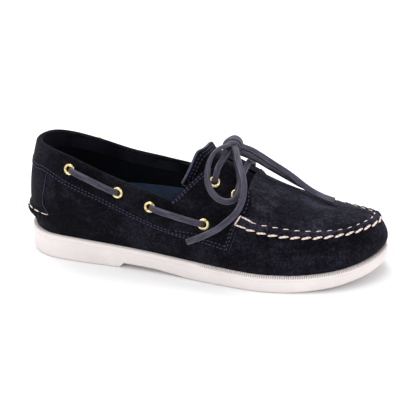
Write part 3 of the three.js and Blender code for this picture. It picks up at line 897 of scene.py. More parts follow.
class StitchRows:
    """Rows of stitches that end up in one mesh."""

    def __init__(self, name: str, finish: Finish) -> None:
        """Starts the mesh."""
        self.skin = Skin(name, finish)

    def one(self, centre: Array, along: Array, up: Array, size: Stitch) -> None:
        """Adds one stitch that bows up from the leather and dives in at both ends.

        Args:
            centre: middle of the stitch on the leather.
            along: its direction.
            up: the leather's normal.
            size: its size.
        """
        across = np.cross(up, along)
        f = np.linspace(-1.0, 1.0, 9)
        swell = np.sqrt(np.clip(1.0 - np.abs(f) ** 3.2, 0.0, 1.0))
        swell[[0, -1]] = 0.12
        bow = (1.0 - f**2) * size.height * 0.55 - np.abs(f) ** 4 * size.sink
        round_ = np.linspace(0.0, 2.0 * math.pi, 8, endpoint=False)
        middle = centre + along * (f * size.length / 2)[:, None] + up * bow[:, None]
        middle = middle + across * (f * size.slant)[:, None]
        wide = across * (np.cos(round_) * size.width / 2)[:, None]
        tall = up * (np.sin(round_) * size.height / 2)[:, None]
        points = middle[:, None] + swell[:, None, None] * (wide + tall)[None]
        grain = np.stack(np.broadcast_arrays((f * size.length / 2)[:, None],
                                             (round_ * size.width / 2)[None]), -1)
        index = self.skin.sheet(points, grain, tube=True)
        self.skin.close_ends(index)

    def row(self, path: Array, normals: Array, size: Stitch, start: float = 0.5) -> None:
        """Adds a row along a path.

        Args:
            path: points on the leather.
            normals: the leather's normals there.
            size: size and pitch.
            start: share of a pitch before the first stitch's middle.
        """
        s = lengths(path)
        count = int(s[-1] / size.pitch)
        if count < 1:
            return
        pitch = s[-1] / count
        for i in range(count):
            at = (i + start) * pitch
            ends = [between(path, s, at + d) for d in (-pitch * 0.3, 0.0, pitch * 0.3)]
            up = unit(between(normals, s, at))
            along = unit(ends[2] - ends[0])
            along = unit(along - up * (along @ up))
            self.one(ends[1], along, up, size)

    def build(self, slot: str) -> bpy.types.Object:
        """Makes the object."""
        return self.skin.build(slot, weld=False, sharp=80.0)


# ------------------------------------------------------------------ upper


@dataclass(frozen=True)
class Patch:
    """Four edges of a leather panel in turns and climbs, filled in between."""

    low: Array
    high: Array
    left: Array
    right: Array

    def at(self, s: Array, w: Array) -> tuple[Array, Array]:
        """Places inside the panel.

        Args:
            s: share of the way from the left edge to the right.
            w: share of the way from the low edge to the high one.

        Returns:
            Turns and climbs.
        """
        def along(edge: Array, f: Array) -> Array:
            """A point of an edge, by its share."""
            return between(edge, np.linspace(0.0, 1.0, len(edge)), f)

        s, w = np.broadcast_arrays(np.asarray(s, float), np.asarray(w, float))
        sk, wk = s[..., None], w[..., None]
        rails = (1 - wk) * along(self.low, s) + wk * along(self.high, s)
        ribs = (1 - sk) * along(self.left, w) + sk * along(self.right, w)
        corners = ((1 - sk) * (1 - wk) * self.low[0] + sk * (1 - wk) * self.low[-1]
                   + (1 - sk) * wk * self.high[0] + sk * wk * self.high[-1])
        both = rails + ribs - corners
        return both[..., 0], both[..., 1]


def resampled(places: Rows, count: int = 80) -> Array:
    """Points evenly along a path of (turn, climb) places, measured over the leather."""
    fine = smooth(np.array(places, float), np.linspace(0.0, len(places) - 1, 400))
    s = lengths(LAST.point(fine[:, 0], fine[:, 1]))
    return between(fine, s, np.linspace(0.0, s[-1], count))


@dataclass
class Upper:
    """The leather above the sole, panel by panel."""

    wall: float = 2.2
    overlay: float = 1.7
    roll: float = 2.5
    facing: float = 13.0
    join: float = 5.86
    ridge_height: float = 2.7
    seam_start: float = 7.84
    row_start: float = 8.2
    heel_bulge: float = 4.6
    heel_seam: float = 0.205
    gather_spacing: float = 0.20
    gather_depth: float = 0.6
    strip_lift: float = 1.6
    skirt_depth: float = 0.3
    thread_lift: float = 0.05
    # turn and climb of the band's lower edge
    band_edge: Rows = ((0, 0.695), (1.34, 0.675), (1.96, 0.683), (2.9, 0.608), (3.96, 0.558),
                       (4.86, 0.475), (5.5, 0.425), (6.24, 0.408), (7.46, 0.378))
    # turn and climb up the saddle's front edge and on up the flap's
    saddle_front: Rows = ((7.46, 0.378), (7.58, 0.52), (7.7, 0.658), (7.9, 0.917), (8.02, 1.075),
                          (8.17, 1.19), (8.24, 1.32), (8.23, 1.46), (8.12, 1.56))
    # turn and climb of the flap's inner edge, from its rear corner forwards
    flap_inner: Rows = ((6.98, 1.66), (7.28, 1.735), (7.58, 1.675), (7.86, 1.60), (8.12, 1.56))
    # x and height of the flap's rear edge, from the collar up
    flap_rear: Rows = ((135.5, 65.2), (138, 67.6), (142, 72.0), (146, 76.6), (150.5, 81.0),
                       (156, 85.2))
    # turn and climb of the row of fine stitches inside the moccasin seam
    inner_row: Rows = ((7.84, 1.14), (8.4, 1.10), (9.38, 1.125), (10.32, 1.125), (11.12, 1.133),
                       (11.82, 1.125), (12.64, 1.165), (13.4, 1.18), (14.0, 1.18))
    # climb and half width in turns of the back strip
    strip: Rows = ((0.235, 2.06), (0.333, 1.80), (0.517, 1.88), (0.66, 1.96), (0.72, 2.0))
    # creases: turn, climb, half length in turns, half width in climbs, slope, depth
    creases: Rows = (
        (8.9, 0.72, 0.55, 0.10, 0.20, -0.5), (9.6, 0.55, 0.80, 0.09, -0.25, 0.45),
        (10.4, 0.70, 0.50, 0.08, 0.10, -0.4), (11.3, 0.55, 0.40, 0.14, 0.30, 0.35),
        (5.9, 0.20, 0.90, 0.07, 0.10, -0.35), (3.6, 0.42, 0.70, 0.10, -0.12, 0.45),
        (2.9, 0.26, 0.60, 0.06, 0.15, -0.35), (4.7, 0.60, 0.90, 0.05, -0.10, -0.3),
        (12.4, 0.62, 0.35, 0.12, -0.30, 0.35), (7.2, 0.14, 0.70, 0.07, 0.0, 0.35))
    # start and run along the saddle, start and rise up it, of each row of navy thread
    saddle_rows: Rows = ((0, 0.965, 0.040, 0), (0, 0.93, 0.082, 0), (0.958, 0, 0.03, 0.45),
                         (0.925, 0, 0.06, 0.42), (0.962, 0, 0.60, 0.37),
                         (0.02, 0.45, 0.955, 0), (0.03, 0.42, 0.915, 0),
                         (0.06, 0.60, 0.16, -0.03))
    # turn and climb of the corners of the moccasin seam's closed end
    box: Rows = ((8.22, 1.0), (7.82, 1.0), (7.96, 1.13), (8.36, 1.11))

    def __post_init__(self) -> None:
        """Measures the moccasin seam once."""
        turns = np.linspace(self.seam_start, AROUND - self.seam_start, 800)
        path = LAST.lifted(turns, np.full(len(turns), 0.99), 0.0)
        s = lengths(path)
        self.seam_turns, self.seam_s = turns, s
        self.seam_count = round(s[-1] / CREAM_BOLD.pitch)

    def seam_phase(self, turn: Array) -> Array:
        """Stitches counted along the moccasin seam."""
        return np.interp(turn, self.seam_turns, self.seam_s) * self.seam_count / self.seam_s[-1]

    def in_row(self, turn: Array) -> Array:
        """Climb of the inner row of the moccasin seam."""
        return looked_up(self.inner_row, from_heel(turn))

    def lower(self, turn: Array) -> Array:
        """Climb of the band's lower edge."""
        return looked_up(self.band_edge, turn)

    def relief(self, turn: Array, climb: Array) -> Array:
        """How far creases, gathers and the heel seam move the leather, millimetres."""
        folded = from_heel(turn)
        lift = np.zeros(np.broadcast(turn, climb).shape)
        for at, up, long, wide, slope, depth in self.creases:
            d = folded - at
            for mirror, shift, own in ((1.0, 0.0, turn <= TOE), (0.7, 0.35, turn > TOE)):
                far = ((d + shift) / long) ** 2 + ((climb - up - slope * d * 0.3) / wide) ** 2
                lift = lift + np.where(own, depth * mirror * np.exp(-far), 0.0)
        phase = self.seam_phase(turn)
        in_seam = step(folded, 7.9, 8.2)
        pull = np.cos(2 * math.pi * phase)
        near = np.exp(-((1.0 - climb) / 0.10) ** 2)
        lift = lift - in_seam * near * (0.35 + 0.35 * pull) * (climb <= 1.0)
        drape = np.sin(2 * math.pi * phase / 3.0 + 0.7) * np.exp(-((0.80 - climb) / 0.2) ** 2)
        lift = lift + in_seam * drape * 0.22
        taper = 1.0 - step(np.abs(folded), 0.9, 2.35)
        seam = np.exp(-(np.maximum(climb - self.heel_seam, 0.0) / 0.030) ** 2
                      - (np.maximum(self.heel_seam - climb, 0.0) / 0.085) ** 2)
        around = np.where(turn > TOE, turn - AROUND, turn)
        gathers = np.cos(2 * math.pi * around / self.gather_spacing)
        gathers = gathers * step(0.235 - climb, 0.0, 0.03)
        gathers = gathers * np.exp(-((climb - 0.15) / 0.07) ** 2)
        return lift + taper * (seam * self.heel_bulge + gathers * self.gather_depth)

    def skin(self, turn: Array, climb: Array, lift: Array | float = 0.0) -> Array:
        """Points of the leather's outside, with its relief."""
        turn, climb = np.broadcast_arrays(np.asarray(turn, float), np.asarray(climb, float))
        return LAST.lifted(turn, climb, np.asarray(lift) + self.relief(turn, climb))

    def build(self, holes: list[Seat]) -> list[bpy.types.Object]:
        """Makes every leather panel.

        Args:
            holes: seats of the eyelets.

        Returns:
            The pieces.
        """
        made = [self.walls(holes), self.plug(), self.moc_ridge(), self.back_strip()]
        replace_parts(made[0], "upper")
        for side in Side:
            own = [seat for seat in holes if (seat.point[1] < 0) == (side is Side.OUTER)]
            made.append(self.band(side, own))
            made.append(self.saddle(side, own))
        made.extend(self.threads())
        return made

    def walls(self, holes: list[Seat]) -> bpy.types.Object:
        """The quarters and vamp: one wall all round, lined inside."""
        half = np.concatenate([np.arange(0.0, 2.4, 0.04), np.arange(2.4, 7.6, 0.1),
                               np.arange(7.6, TOE, 0.05)])
        turns = np.concatenate([half, [TOE], AROUND - half[:0:-1]])[:, None]
        climbs = np.concatenate([np.linspace(0.0, 0.3, 19)[:-1], np.linspace(0.3, 1.0, 24)])
        outside = self.skin(turns, climbs[None])
        foot = outside[:, :1] - [0.0, 0.0, 0.32]
        foot = foot - LAST.normal(turns, np.zeros(1)[None]) * 0.4
        inside = LAST.lifted(turns, climbs[None, ::2], -self.wall)[:, ::-1]
        points = np.concatenate([foot, outside, inside], axis=1)
        kind = np.zeros((len(points), points.shape[1]), int)
        kind[:, foot.shape[1] + outside.shape[1] - 1:] = 1
        grain = np.stack(np.broadcast_arrays(
            lengths(outside[:, 20])[:, None], points[..., 2]), -1)
        skin = Skin("quarters_and_vamp", Finish.UPPER, Finish.LINING)
        skin.sheet(points, grain, kind, ring=True, tube=True)
        return skin.build("suede", holes)

    def plug(self) -> bpy.types.Object:
        """The panel over the toes, inside the moccasin seam."""
        stations = np.concatenate([np.arange(8.08, 13.9, 0.06), [13.9, 13.96]])
        share = np.concatenate([np.linspace(0.0, 0.12, 7)[:-1], np.linspace(0.12, 1.0, 22)])
        start = (self.in_row(stations) + 1.0)[:, None] / 2
        outer_climb = start + (2.0 - start) * share[None]
        outer = np.stack([np.broadcast_to(stations[:, None], outer_climb.shape), outer_climb])
        inner = np.stack([AROUND - outer[0], outer_climb])[:, :, -2::-1]
        turn, climb = np.concatenate([outer, inner], axis=2)
        phase = self.seam_phase(turn)
        edge = climb - self.in_row(turn)
        puckers = -0.35 * (0.6 + 0.4 * np.cos(2 * math.pi * phase)) * np.exp(-(edge / 0.05) ** 2)
        flex = 0.30 * np.sin((turn - 8.0) * 5.2) * np.exp(-(((climb - 1.75) / 0.25) ** 2))
        flex = flex * step(turn, 8.1, 8.5) * (1 - step(turn, 9.6, 10.4))
        outside = LAST.lifted(turn, climb, puckers + flex)
        under = LAST.lifted(turn, climb, -self.wall + 0.3)
        skin = Skin("plug", Finish.PLUG_PAINTED_LIGHTER, Finish.LINING, Finish.EDGE)
        skin.sheet(outside)
        skin.sheet(under, kind=1)
        for row, kind in ((0, 2), (-1, 0)):
            skin.sheet(np.stack([outside[row], under[row]]), kind=kind)
        for column in (0, -1):
            skin.sheet(np.stack([outside[:, column], under[:, column]]), kind=0)
        return skin.build("suede")

    def moc_ridge(self) -> bpy.types.Object:
        """The gathered ridge between the seam's two rows."""
        turns = np.arange(self.seam_start, AROUND - self.seam_start + 0.01, 0.02)[:, None]
        w = np.linspace(0.0, 1.0, 15)[None]
        climb = 0.985 + (self.in_row(turns) + 0.012 - 0.985) * w
        phase = self.seam_phase(turns)
        folded = from_heel(turns)
        ends = step(folded, self.seam_start, self.seam_start + 0.16)
        base = self.overlay * (1.0 - step(folded, self.seam_start + 0.02, 8.3))
        gather = 0.5 + 0.5 * np.cos(2 * math.pi * (phase - 0.35 * (w - 0.2)))
        minor = np.sin(2 * math.pi * (2 * phase + 0.4 * w))
        arch = np.sin(math.pi * np.clip(w * 0.92 + 0.04, 0, 1)) ** 0.62
        height = self.ridge_height * arch * (1.0 - 0.30 * gather**2 - 0.05 * minor)
        lift = base + height * (0.25 + 0.75 * ends) - 0.15
        outside = LAST.lifted(turns, climb, lift)
        under = LAST.lifted(turns, climb, -0.8)
        points = np.concatenate([outside, under[:, ::-1]], axis=1)
        skin = Skin("moccasin_ridge", Finish.PLUG_PAINTED_LIGHTER)
        index = skin.sheet(points, tube=True)
        skin.close_ends(index)
        return skin.build("suede", sharp=60.0)

    def back_strip(self) -> bpy.types.Object:
        """The strip over the heel's back seam."""
        climbs = np.linspace(self.strip[0][0], self.strip[-1][0], 34)
        half = looked_up(self.strip, climbs)
        across = np.sin(np.linspace(-1.0, 1.0, 49) * math.pi / 2)
        turn = half[:, None] * across[None]
        climb = np.broadcast_to(climbs[:, None], turn.shape)
        lift = self.strip_lift - 0.5 * (np.abs(across) > 0.995) * np.ones_like(turn)
        padded = [np.pad(a, 1, mode="edge") for a in (turn, climb)]
        lift = np.pad(lift, 1, constant_values=-0.2)
        whole = np.mod(padded[0], AROUND)
        kind = np.full((lift.shape[0] - 1, lift.shape[1] - 1), 1)
        kind[1:-1, 1:-1] = 0
        skin = Skin("back_strip", Finish.SADDLE, Finish.EDGE)
        skin.sheet(self.skin(whole, padded[1], lift), kind=kind)
        return skin.build("suede")

    def band_rows(self) -> Array:
        """Shares of the way up the band, closer together at its lower edge."""
        return np.concatenate([[0.0, 0.012, 0.03], np.linspace(0.06, 1.0, 24)])

    def edge_lift(self, share: Array) -> Array:
        """The overlay's height, rounded off where share nears 0."""
        return self.overlay * (0.5 + 0.5 * step(share, -0.004, 0.03))

    def roll_at(self, turn: Array) -> Array:
        """Radius of the padded roll, thinner towards the flap."""
        return self.roll * (1.0 - 0.5 * step(turn, self.join - 0.9, self.join))

    def stop(self, turn: Array, side: Side) -> Array:
        """Climb where the roll starts."""
        at = side.turn(turn)
        rise = np.linalg.norm(LAST.point(at, np.float64(1.0)) - LAST.point(at, np.float64(0.5)),
                              axis=-1) * 2
        return 1.0 - self.roll_at(turn) / rise

    def band(self, side: Side, holes: list[Seat]) -> bpy.types.Object:
        """The collar band of one side, rolled over the rim and faced inside."""
        turns = np.concatenate([np.arange(0.0, self.join - 0.03, 0.06), [self.join]])
        at = side.turn(turns)
        share = self.band_rows()
        low, stop = self.lower(turns)[:, None], self.stop(turns, side)[:, None]
        climb = low + (stop - low) * share[None]
        lift = np.broadcast_to(self.edge_lift(share)[None], climb.shape)
        outer = LAST.lifted(at[:, None], climb, lift)
        skirt = LAST.lifted(at[:, None], climb[:, :1], -self.skirt_depth)
        one = np.ones(1)
        rim, below = LAST.point(at[:, None], one), LAST.point(at[:, None], one * 0.96)
        normal = LAST.normal(at[:, None], one * 0.97)
        up = unit(rim - below)
        radius = self.roll_at(turns)[:, None, None]
        centre = rim - up * radius + normal * (self.overlay - radius)
        phi = np.linspace(0.0, math.pi, 12)[1:-1][None, :, None]
        roll = centre + radius * (normal * np.cos(phi) + up * np.sin(phi))
        fall = np.linspace(0.0, 1.0, 9)[None]
        inner_climb = stop - fall * (self.facing / 70.0)
        inner_lift = np.broadcast_to(self.overlay - 2 * radius[..., 0], inner_climb.shape)
        inner = LAST.lifted(at[:, None], inner_climb, inner_lift)
        close = LAST.lifted(at[:, None], inner_climb[:, -1:], -self.wall + 0.1)
        points = np.concatenate([skirt, outer, roll, inner, close], axis=1)
        kind = np.zeros((len(points) - 1, points.shape[1] - 1), int)
        kind[:, 0] = 1
        kind[:, 1 + outer.shape[1] + roll.shape[1]:] = 2
        skin = Skin(f"collar_band_{side.value}", Finish.SADDLE, Finish.EDGE, Finish.FACING)
        index = skin.sheet(points, kind=kind)
        skin.cap(index[-1][outer.shape[1]:], 0)
        return skin.build("suede", holes)

    def saddle_patch(self, side: Side) -> Patch:
        """The saddle and flap of one side, from the band's end to the flap's front."""
        share = self.band_rows()
        low = float(self.lower(np.float64(self.join)))
        stop = float(self.stop(np.float64(self.join), side))
        rear = [(self.join, stop)]
        for x, z in self.flap_rear:
            seat = LAST.seat(x, z, side)
            rear.append((float(side.turn(seat.turn)), seat.climb))
        left = np.stack([np.full(len(share), self.join), low + (stop - low) * share], -1)
        grid = np.linspace(0.0, 1.0, 81)
        left = between(left, share, grid)
        turns = np.linspace(self.join, self.saddle_front[0][0], 80)
        bottom = np.stack([turns, self.lower(turns)], -1)
        corner = [*rear, *self.flap_inner]
        return Patch(bottom, resampled(corner, 120), left, resampled(self.saddle_front, 80))

    def saddle(self, side: Side, holes: list[Seat]) -> bpy.types.Object:
        """The saddle of one side with its flap, free along the throat."""
        patch = self.saddle_patch(side)
        w = self.band_rows()
        w = np.unique(np.concatenate([w, 1.0 - w[:3]]))
        s = np.concatenate([np.linspace(0.0, 0.965, 44), [0.982, 0.993, 1.0]])
        turn, climb = patch.at(s[:, None], w[None])
        nearest = np.minimum(np.minimum(1.0 - w, w)[None], (1.0 - s)[:, None])
        lift = self.edge_lift(nearest)
        turn, climb = (np.pad(a, ((0, 1), (1, 1)), mode="edge") for a in (turn, climb))
        free = step(climb, 0.94, 1.04) * step(turn, self.join, self.join + 0.25)
        free = np.maximum(free, step(climb, 1.0, 1.1))
        skirt = -self.skirt_depth - (self.wall + 0.1) * free
        shape = lift.shape
        lift = np.pad(lift, ((0, 1), (1, 1)), constant_values=0.0)
        lift[-1, :] = skirt[-1, :]
        lift[:, 0] = skirt[:, 0]
        lift[:, -1] = skirt[:, -1]
        kind = np.ones((lift.shape[0] - 1, lift.shape[1] - 1), int)
        kind[:shape[0] - 1, 1:shape[1]] = 0
        at = side.turn(turn)
        skin = Skin(f"saddle_{side.value}", Finish.SADDLE, Finish.EDGE, Finish.LINING)
        skin.sheet(LAST.lifted(at, climb, lift), kind=kind)
        skin.sheet(LAST.lifted(at, climb, skirt), kind=2)
        return skin.build("suede", holes)

    def threads(self) -> list[bpy.types.Object]:
        """Every row of thread on the upper."""
        bold = StitchRows("cream_stitches", Finish.CREAM)
        navy = StitchRows("navy_stitches", Finish.NAVY)
        turns = np.linspace(self.row_start, AROUND - self.row_start, 900)
        lift = 0.55 + 1.0 * (1.0 - step(from_heel(turns), 7.9, 8.2))
        outer = LAST.lifted(turns, np.full(len(turns), 0.997), lift)
        bold.row(outer, self.tilted(turns, 0.997, 0.4), CREAM_BOLD)
        lift = 0.1 + 1.3 * (1.0 - step(from_heel(turns), 7.9, 8.3))
        row = self.in_row(turns) + 0.006
        bold.row(LAST.lifted(turns, row, lift), LAST.normal(turns, row), CREAM_FINE, 0.62)
        for side in Side:
            self.thread_box(bold, side)
            self.navy_rows(navy, side)
        self.heel_thread(bold)
        return [bold.build("rawhide_lace"), navy.build("suede")]

    def tilted(self, turn: Array, climb: float, share: float) -> Array:
        """Normals between the wall's and the ridge's."""
        wall = LAST.normal(turn, np.full(len(turn), climb - 0.03))
        top = LAST.normal(turn, np.full(len(turn), 1.06))
        return unit(wall * (1 - share) + top * share)

    def thread_box(self, rows: StitchRows, side: Side) -> None:
        """The closed end of the moccasin seam: one thread up, across and down again."""
        for first, second in zip(self.box[:-1], self.box[1:]):
            ends = np.array([(float(side.turn(t)), c) for t, c in (first, second)])
            turn, climb = between(ends, np.arange(2), np.linspace(0.0, 1.0, 12)).T
            path, normals = LAST.lifted(turn, climb, self.overlay + 1.5), LAST.normal(turn, climb)
            length = lengths(path)[-1]
            along = unit(path[-1] - path[0])
            up = unit(normals[6] - along * (normals[6] @ along))
            rows.one(path[6], along, up, Stitch(length * 1.12, 1.3, 0.95, length, sink=0.2))

    def navy_rows(self, rows: StitchRows, side: Side) -> None:
        """The rows that hold one side's band, saddle and flap."""
        turns = np.linspace(0.02, self.join, 260)
        for up in (0.034, 0.072):
            self.overlay_row(rows, side, turns, self.lower(turns) + up)
        patch = self.saddle_patch(side)
        full = np.linspace(0.0, 1.0, 160)
        for start, run, low, rise in self.saddle_rows:
            self.overlay_row(rows, side, *patch.at(start + full * run, low + full * rise))

    def overlay_row(self, rows: StitchRows, side: Side, turn: Array, climb: Array) -> None:
        """One row of navy thread on the overlays."""
        at = side.turn(turn)
        path = LAST.lifted(at, climb, self.overlay + self.thread_lift)
        rows.row(path, LAST.normal(at, climb), NAVY_FINE)

    def heel_thread(self, rows: StitchRows) -> None:
        """The heel's seam: long cream stitches along the top of the gathers."""
        turns = np.mod(np.linspace(-2.1, 2.1, 240), AROUND)
        climb = np.full(len(turns), 0.228)
        rows.row(self.skin(turns, climb, 0.55), unit(LAST.normal(turns, climb) + [0, 0, 0.55]),
                 CREAM_LONG)


# ------------------------------------------------------------------ tongue


@dataclass
class Tongue:
    """The arched tongue under the laces."""

    thickness: float = 2.4
    corner_rise: float = 4.6
    inner_fall: float = 6.0
    along: int = 44
    around: int = 40
    # x, height, tilt, half width, drop, wrap, squareness
    rows: Rows = (
        (206, 65.4, 22, 18, 5, 50, 1), (190, 72.6, 25, 23, 8.4, 54, 1),
        (177, 80, 28, 25, 13.6, 62, 1), (168, 86, 30, 24.5, 22, 72, 1),
        (161, 92, 31, 25, 26, 78, 0.85), (154, 99, 29, 27.6, 29, 84, 0.58))

    def point(self, along: Array, across: Array, inset: Array | float) -> Array:
        """A point of the tongue.

        Args:
            along: 0 at the root to 1 at the free edge.
            across: -1 to 1.
            inset: depth under the outer face.

        Returns:
            Points in millimetres.
        """
        along, across, inset = np.broadcast_arrays(along, across, inset)
        x, z, tilt, half, drop, wrap, square = np.moveaxis(
            smooth(np.array(self.rows, float), along * (len(self.rows) - 1)), -1, 0)
        tilt, wrap = np.radians(tilt), np.radians(wrap)

        def bow(side: Array) -> Array:
            """Sine or cosine with squarer shoulders."""
            return np.sign(side) * np.abs(side) ** square

        height = drop / (1 - bow(np.cos(wrap)))
        angle = across * wrap
        wide = (half / bow(np.sin(wrap)) - inset) * bow(np.sin(angle))
        down = height - (height - inset) * bow(np.cos(angle))
        peak = self.corner_rise * np.exp(-((across + 0.5) / 0.26) ** 2)
        fall = self.inner_fall * step(across, -0.2, 0.55)
        rise = (peak - fall) * along**4
        return np.stack([x - down * np.sin(tilt) - HALF_LENGTH - 0.1 * rise, wide,
                         z - down * np.cos(tilt) + rise], -1)

    def normal(self, along: Array, across: Array) -> Array:
        """Outward normals of the outer face."""
        return unit(self.point(along, across, 0.0) - self.point(along, across, 1.0))

    def build(self) -> list[bpy.types.Object]:
        """Makes the tongue and its rows of thread.

        Returns:
            The pieces.
        """
        a = np.linspace(0.0, 1.0, self.along)[:, None]
        c = np.linspace(-1.0, 1.0, self.around)[None]
        phi = np.linspace(0.0, math.pi, 7)
        swell = np.exp(-((a - 1.0) / 0.05) ** 2)
        outer = self.point(a, c, -swell * 0.5)
        under = self.point(a, c, self.thickness + swell)
        skin = Skin("tongue", Finish.TONGUE, Finish.LINING, Finish.EDGE)
        skin.sheet(outer)
        skin.sheet(under, kind=1)
        core = self.thickness / 2
        loops = [(outer[k], under[k], self.point(end, c[0], core) - self.point(near, c[0], core))
                 for k, end, near in ((-1, 1.0, 0.97), (0, 0.0, 0.03))]
        loops += [(outer[:, k], under[:, k], outer[:, k] - outer[:, other])
                  for k, other in ((0, 1), (-1, -2))]
        for top, low, out in loops:
            middle, arm = (top + low) / 2, (top - low) / 2
            reach = unit(out) * np.linalg.norm(arm, axis=-1, keepdims=True)
            rim = np.stack([middle + arm * math.cos(p) + reach * math.sin(p) for p in phi])
            skin.sheet(rim, kind=2)
        tongue = skin.build("suede")
        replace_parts(tongue, "tongue")
        rows = StitchRows("tongue_stitches", Finish.NAVY)
        for inset in (0.045, 0.095):
            side = np.full(90, 1.0 - inset * 1.2)
            climb = np.linspace(0.35, 1.0 - inset, 90)
            for sign in (-1.0, 1.0):
                rows.row(self.point(climb, side * sign, 0.0), self.normal(climb, side * sign),
                         NAVY_FINE)
            across = np.linspace(-1.0 + inset * 1.2, 1.0 - inset * 1.2, 90)
            top = np.full(90, 1.0 - inset)
            rows.row(self.point(top, across, 0.0), self.normal(top, across), NAVY_FINE)
        return [tongue, rows.build("suede")]


# ------------------------------------------------------------------ sole and footbed


@dataclass
class Sole:
    """The rubber unit: sidewall with its toothed rand, breast, toe spring and tread."""

    tooth: float = 1.75
    tooth_depth: float = 1.2
    tooth_from: float = 150.0
    tooth_fade: float = 14.0
    groove: float = 3.6
    # x and height of the underside
    underside: Rows = ((0, 0), (88, 0), (92, 4), (120, 3), (150, 0), (225, 0), (245, 1.1),
                       (265, 3.2), (285, 6.6), (300, 10))

    def bottom(self, x: Array) -> Array:
        """Height of the underside at x."""
        table = np.array(self.underside, float)
        return np.interp(x + HALF_LENGTH, table[:, 0], table[:, 1])

    def build(self) -> bpy.types.Object:
        """Makes the sole.

        Returns:
            The piece.
        """
        fine = np.linspace(0.0, LAST.turns, 6001)
        x, y, _, _ = LAST.edge(fine)
        s = lengths(np.stack([x, y, 0 * x], -1))
        teeth = round(s[-1] / self.tooth)
        count = teeth * 4
        stations = np.arange(count) * s[-1] / count
        turns = np.interp(stations, s, fine)
        hollow = 0.5 - 0.5 * np.cos(2 * math.pi * np.arange(count) / 4.0)[:, None]
        top = LAST.value("edge_z", turns)[:, None]
        ex, ey, ox, oy = LAST.edge(turns)
        toothed = step(ex, self.tooth_from, self.tooth_from + self.tooth_fade)[:, None]
        base = self.bottom(ex - HALF_LENGTH)[:, None]
        g = self.groove
        # inset, height and share of the teeth's cut of each level, from the tread upwards
        levels = [(2.4, base, 0), (1.1, base + 0.25, 0), (0.45, base + 0.9, 0),
                  (0.2, base + 2.2, 0), (0.05, (base + top) / 2, 0), (0.0, top - g - 1.4, 0),
                  (0.02, top - g - 0.4, 0), (0.38, top - g, 0), (0.02, top - g + 0.4, 0),
                  (0.0, top - 1.9, 0.1), (0.12, top - 1.0, 1.0), (0.45, top - 0.35, 1.0),
                  (1.0, top, 0.9)]
        inset, height, cut = (list(column) for column in zip(*levels))
        height = np.concatenate(height, axis=1)
        bite = toothed * np.array(cut)[None]
        inset = np.array(inset)[None] + bite * self.tooth_depth * hollow
        side = np.stack([ex[:, None] - inset * ox[:, None] - HALF_LENGTH,
                         ey[:, None] - inset * oy[:, None], height], -1)
        skin = Skin("outsole", Finish.RUBBER, Finish.TREAD)
        along = np.broadcast_to(stations[:, None], height.shape)
        # the third grain number marks the grooves between the teeth, which the rubber darkens as
        # painted shade
        skin.sheet(side, np.stack([along, height, bite * hollow], -1), ring=True)
        self.lid(skin, side[:, 0], True)
        self.lid(skin, side[:, -1], False)
        sole = skin.build("sole_rubber", sharp=50.0)
        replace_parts(sole, "outsole")
        return sole

    def lid(self, skin: Skin, loop: Array, under: bool) -> None:
        """Fills the top or the underside in strips from side to side.

        Args:
            skin: the mesh.
            loop: the loop's points, from the heel round.
            under: follows the underside's profile.
        """
        size = len(loop)
        half = size // 2
        left = loop[1:half]
        right = loop[:half:-1][:len(left)]
        f = np.linspace(0.0, 1.0, 13)[None, :, None]
        points = left[:, None] * (1 - f) + right[:, None] * f
        if under:
            points[..., 2] = self.bottom(points[..., 0])
        skin.sheet(points, kind=1 if under else 0)
        for ends in ((loop[:1], points[0]), (loop[half:half + 1], points[-1])):
            skin.sheet(np.stack([np.repeat(ends[0], 13, axis=0), ends[1]]),
                       kind=1 if under else 0)


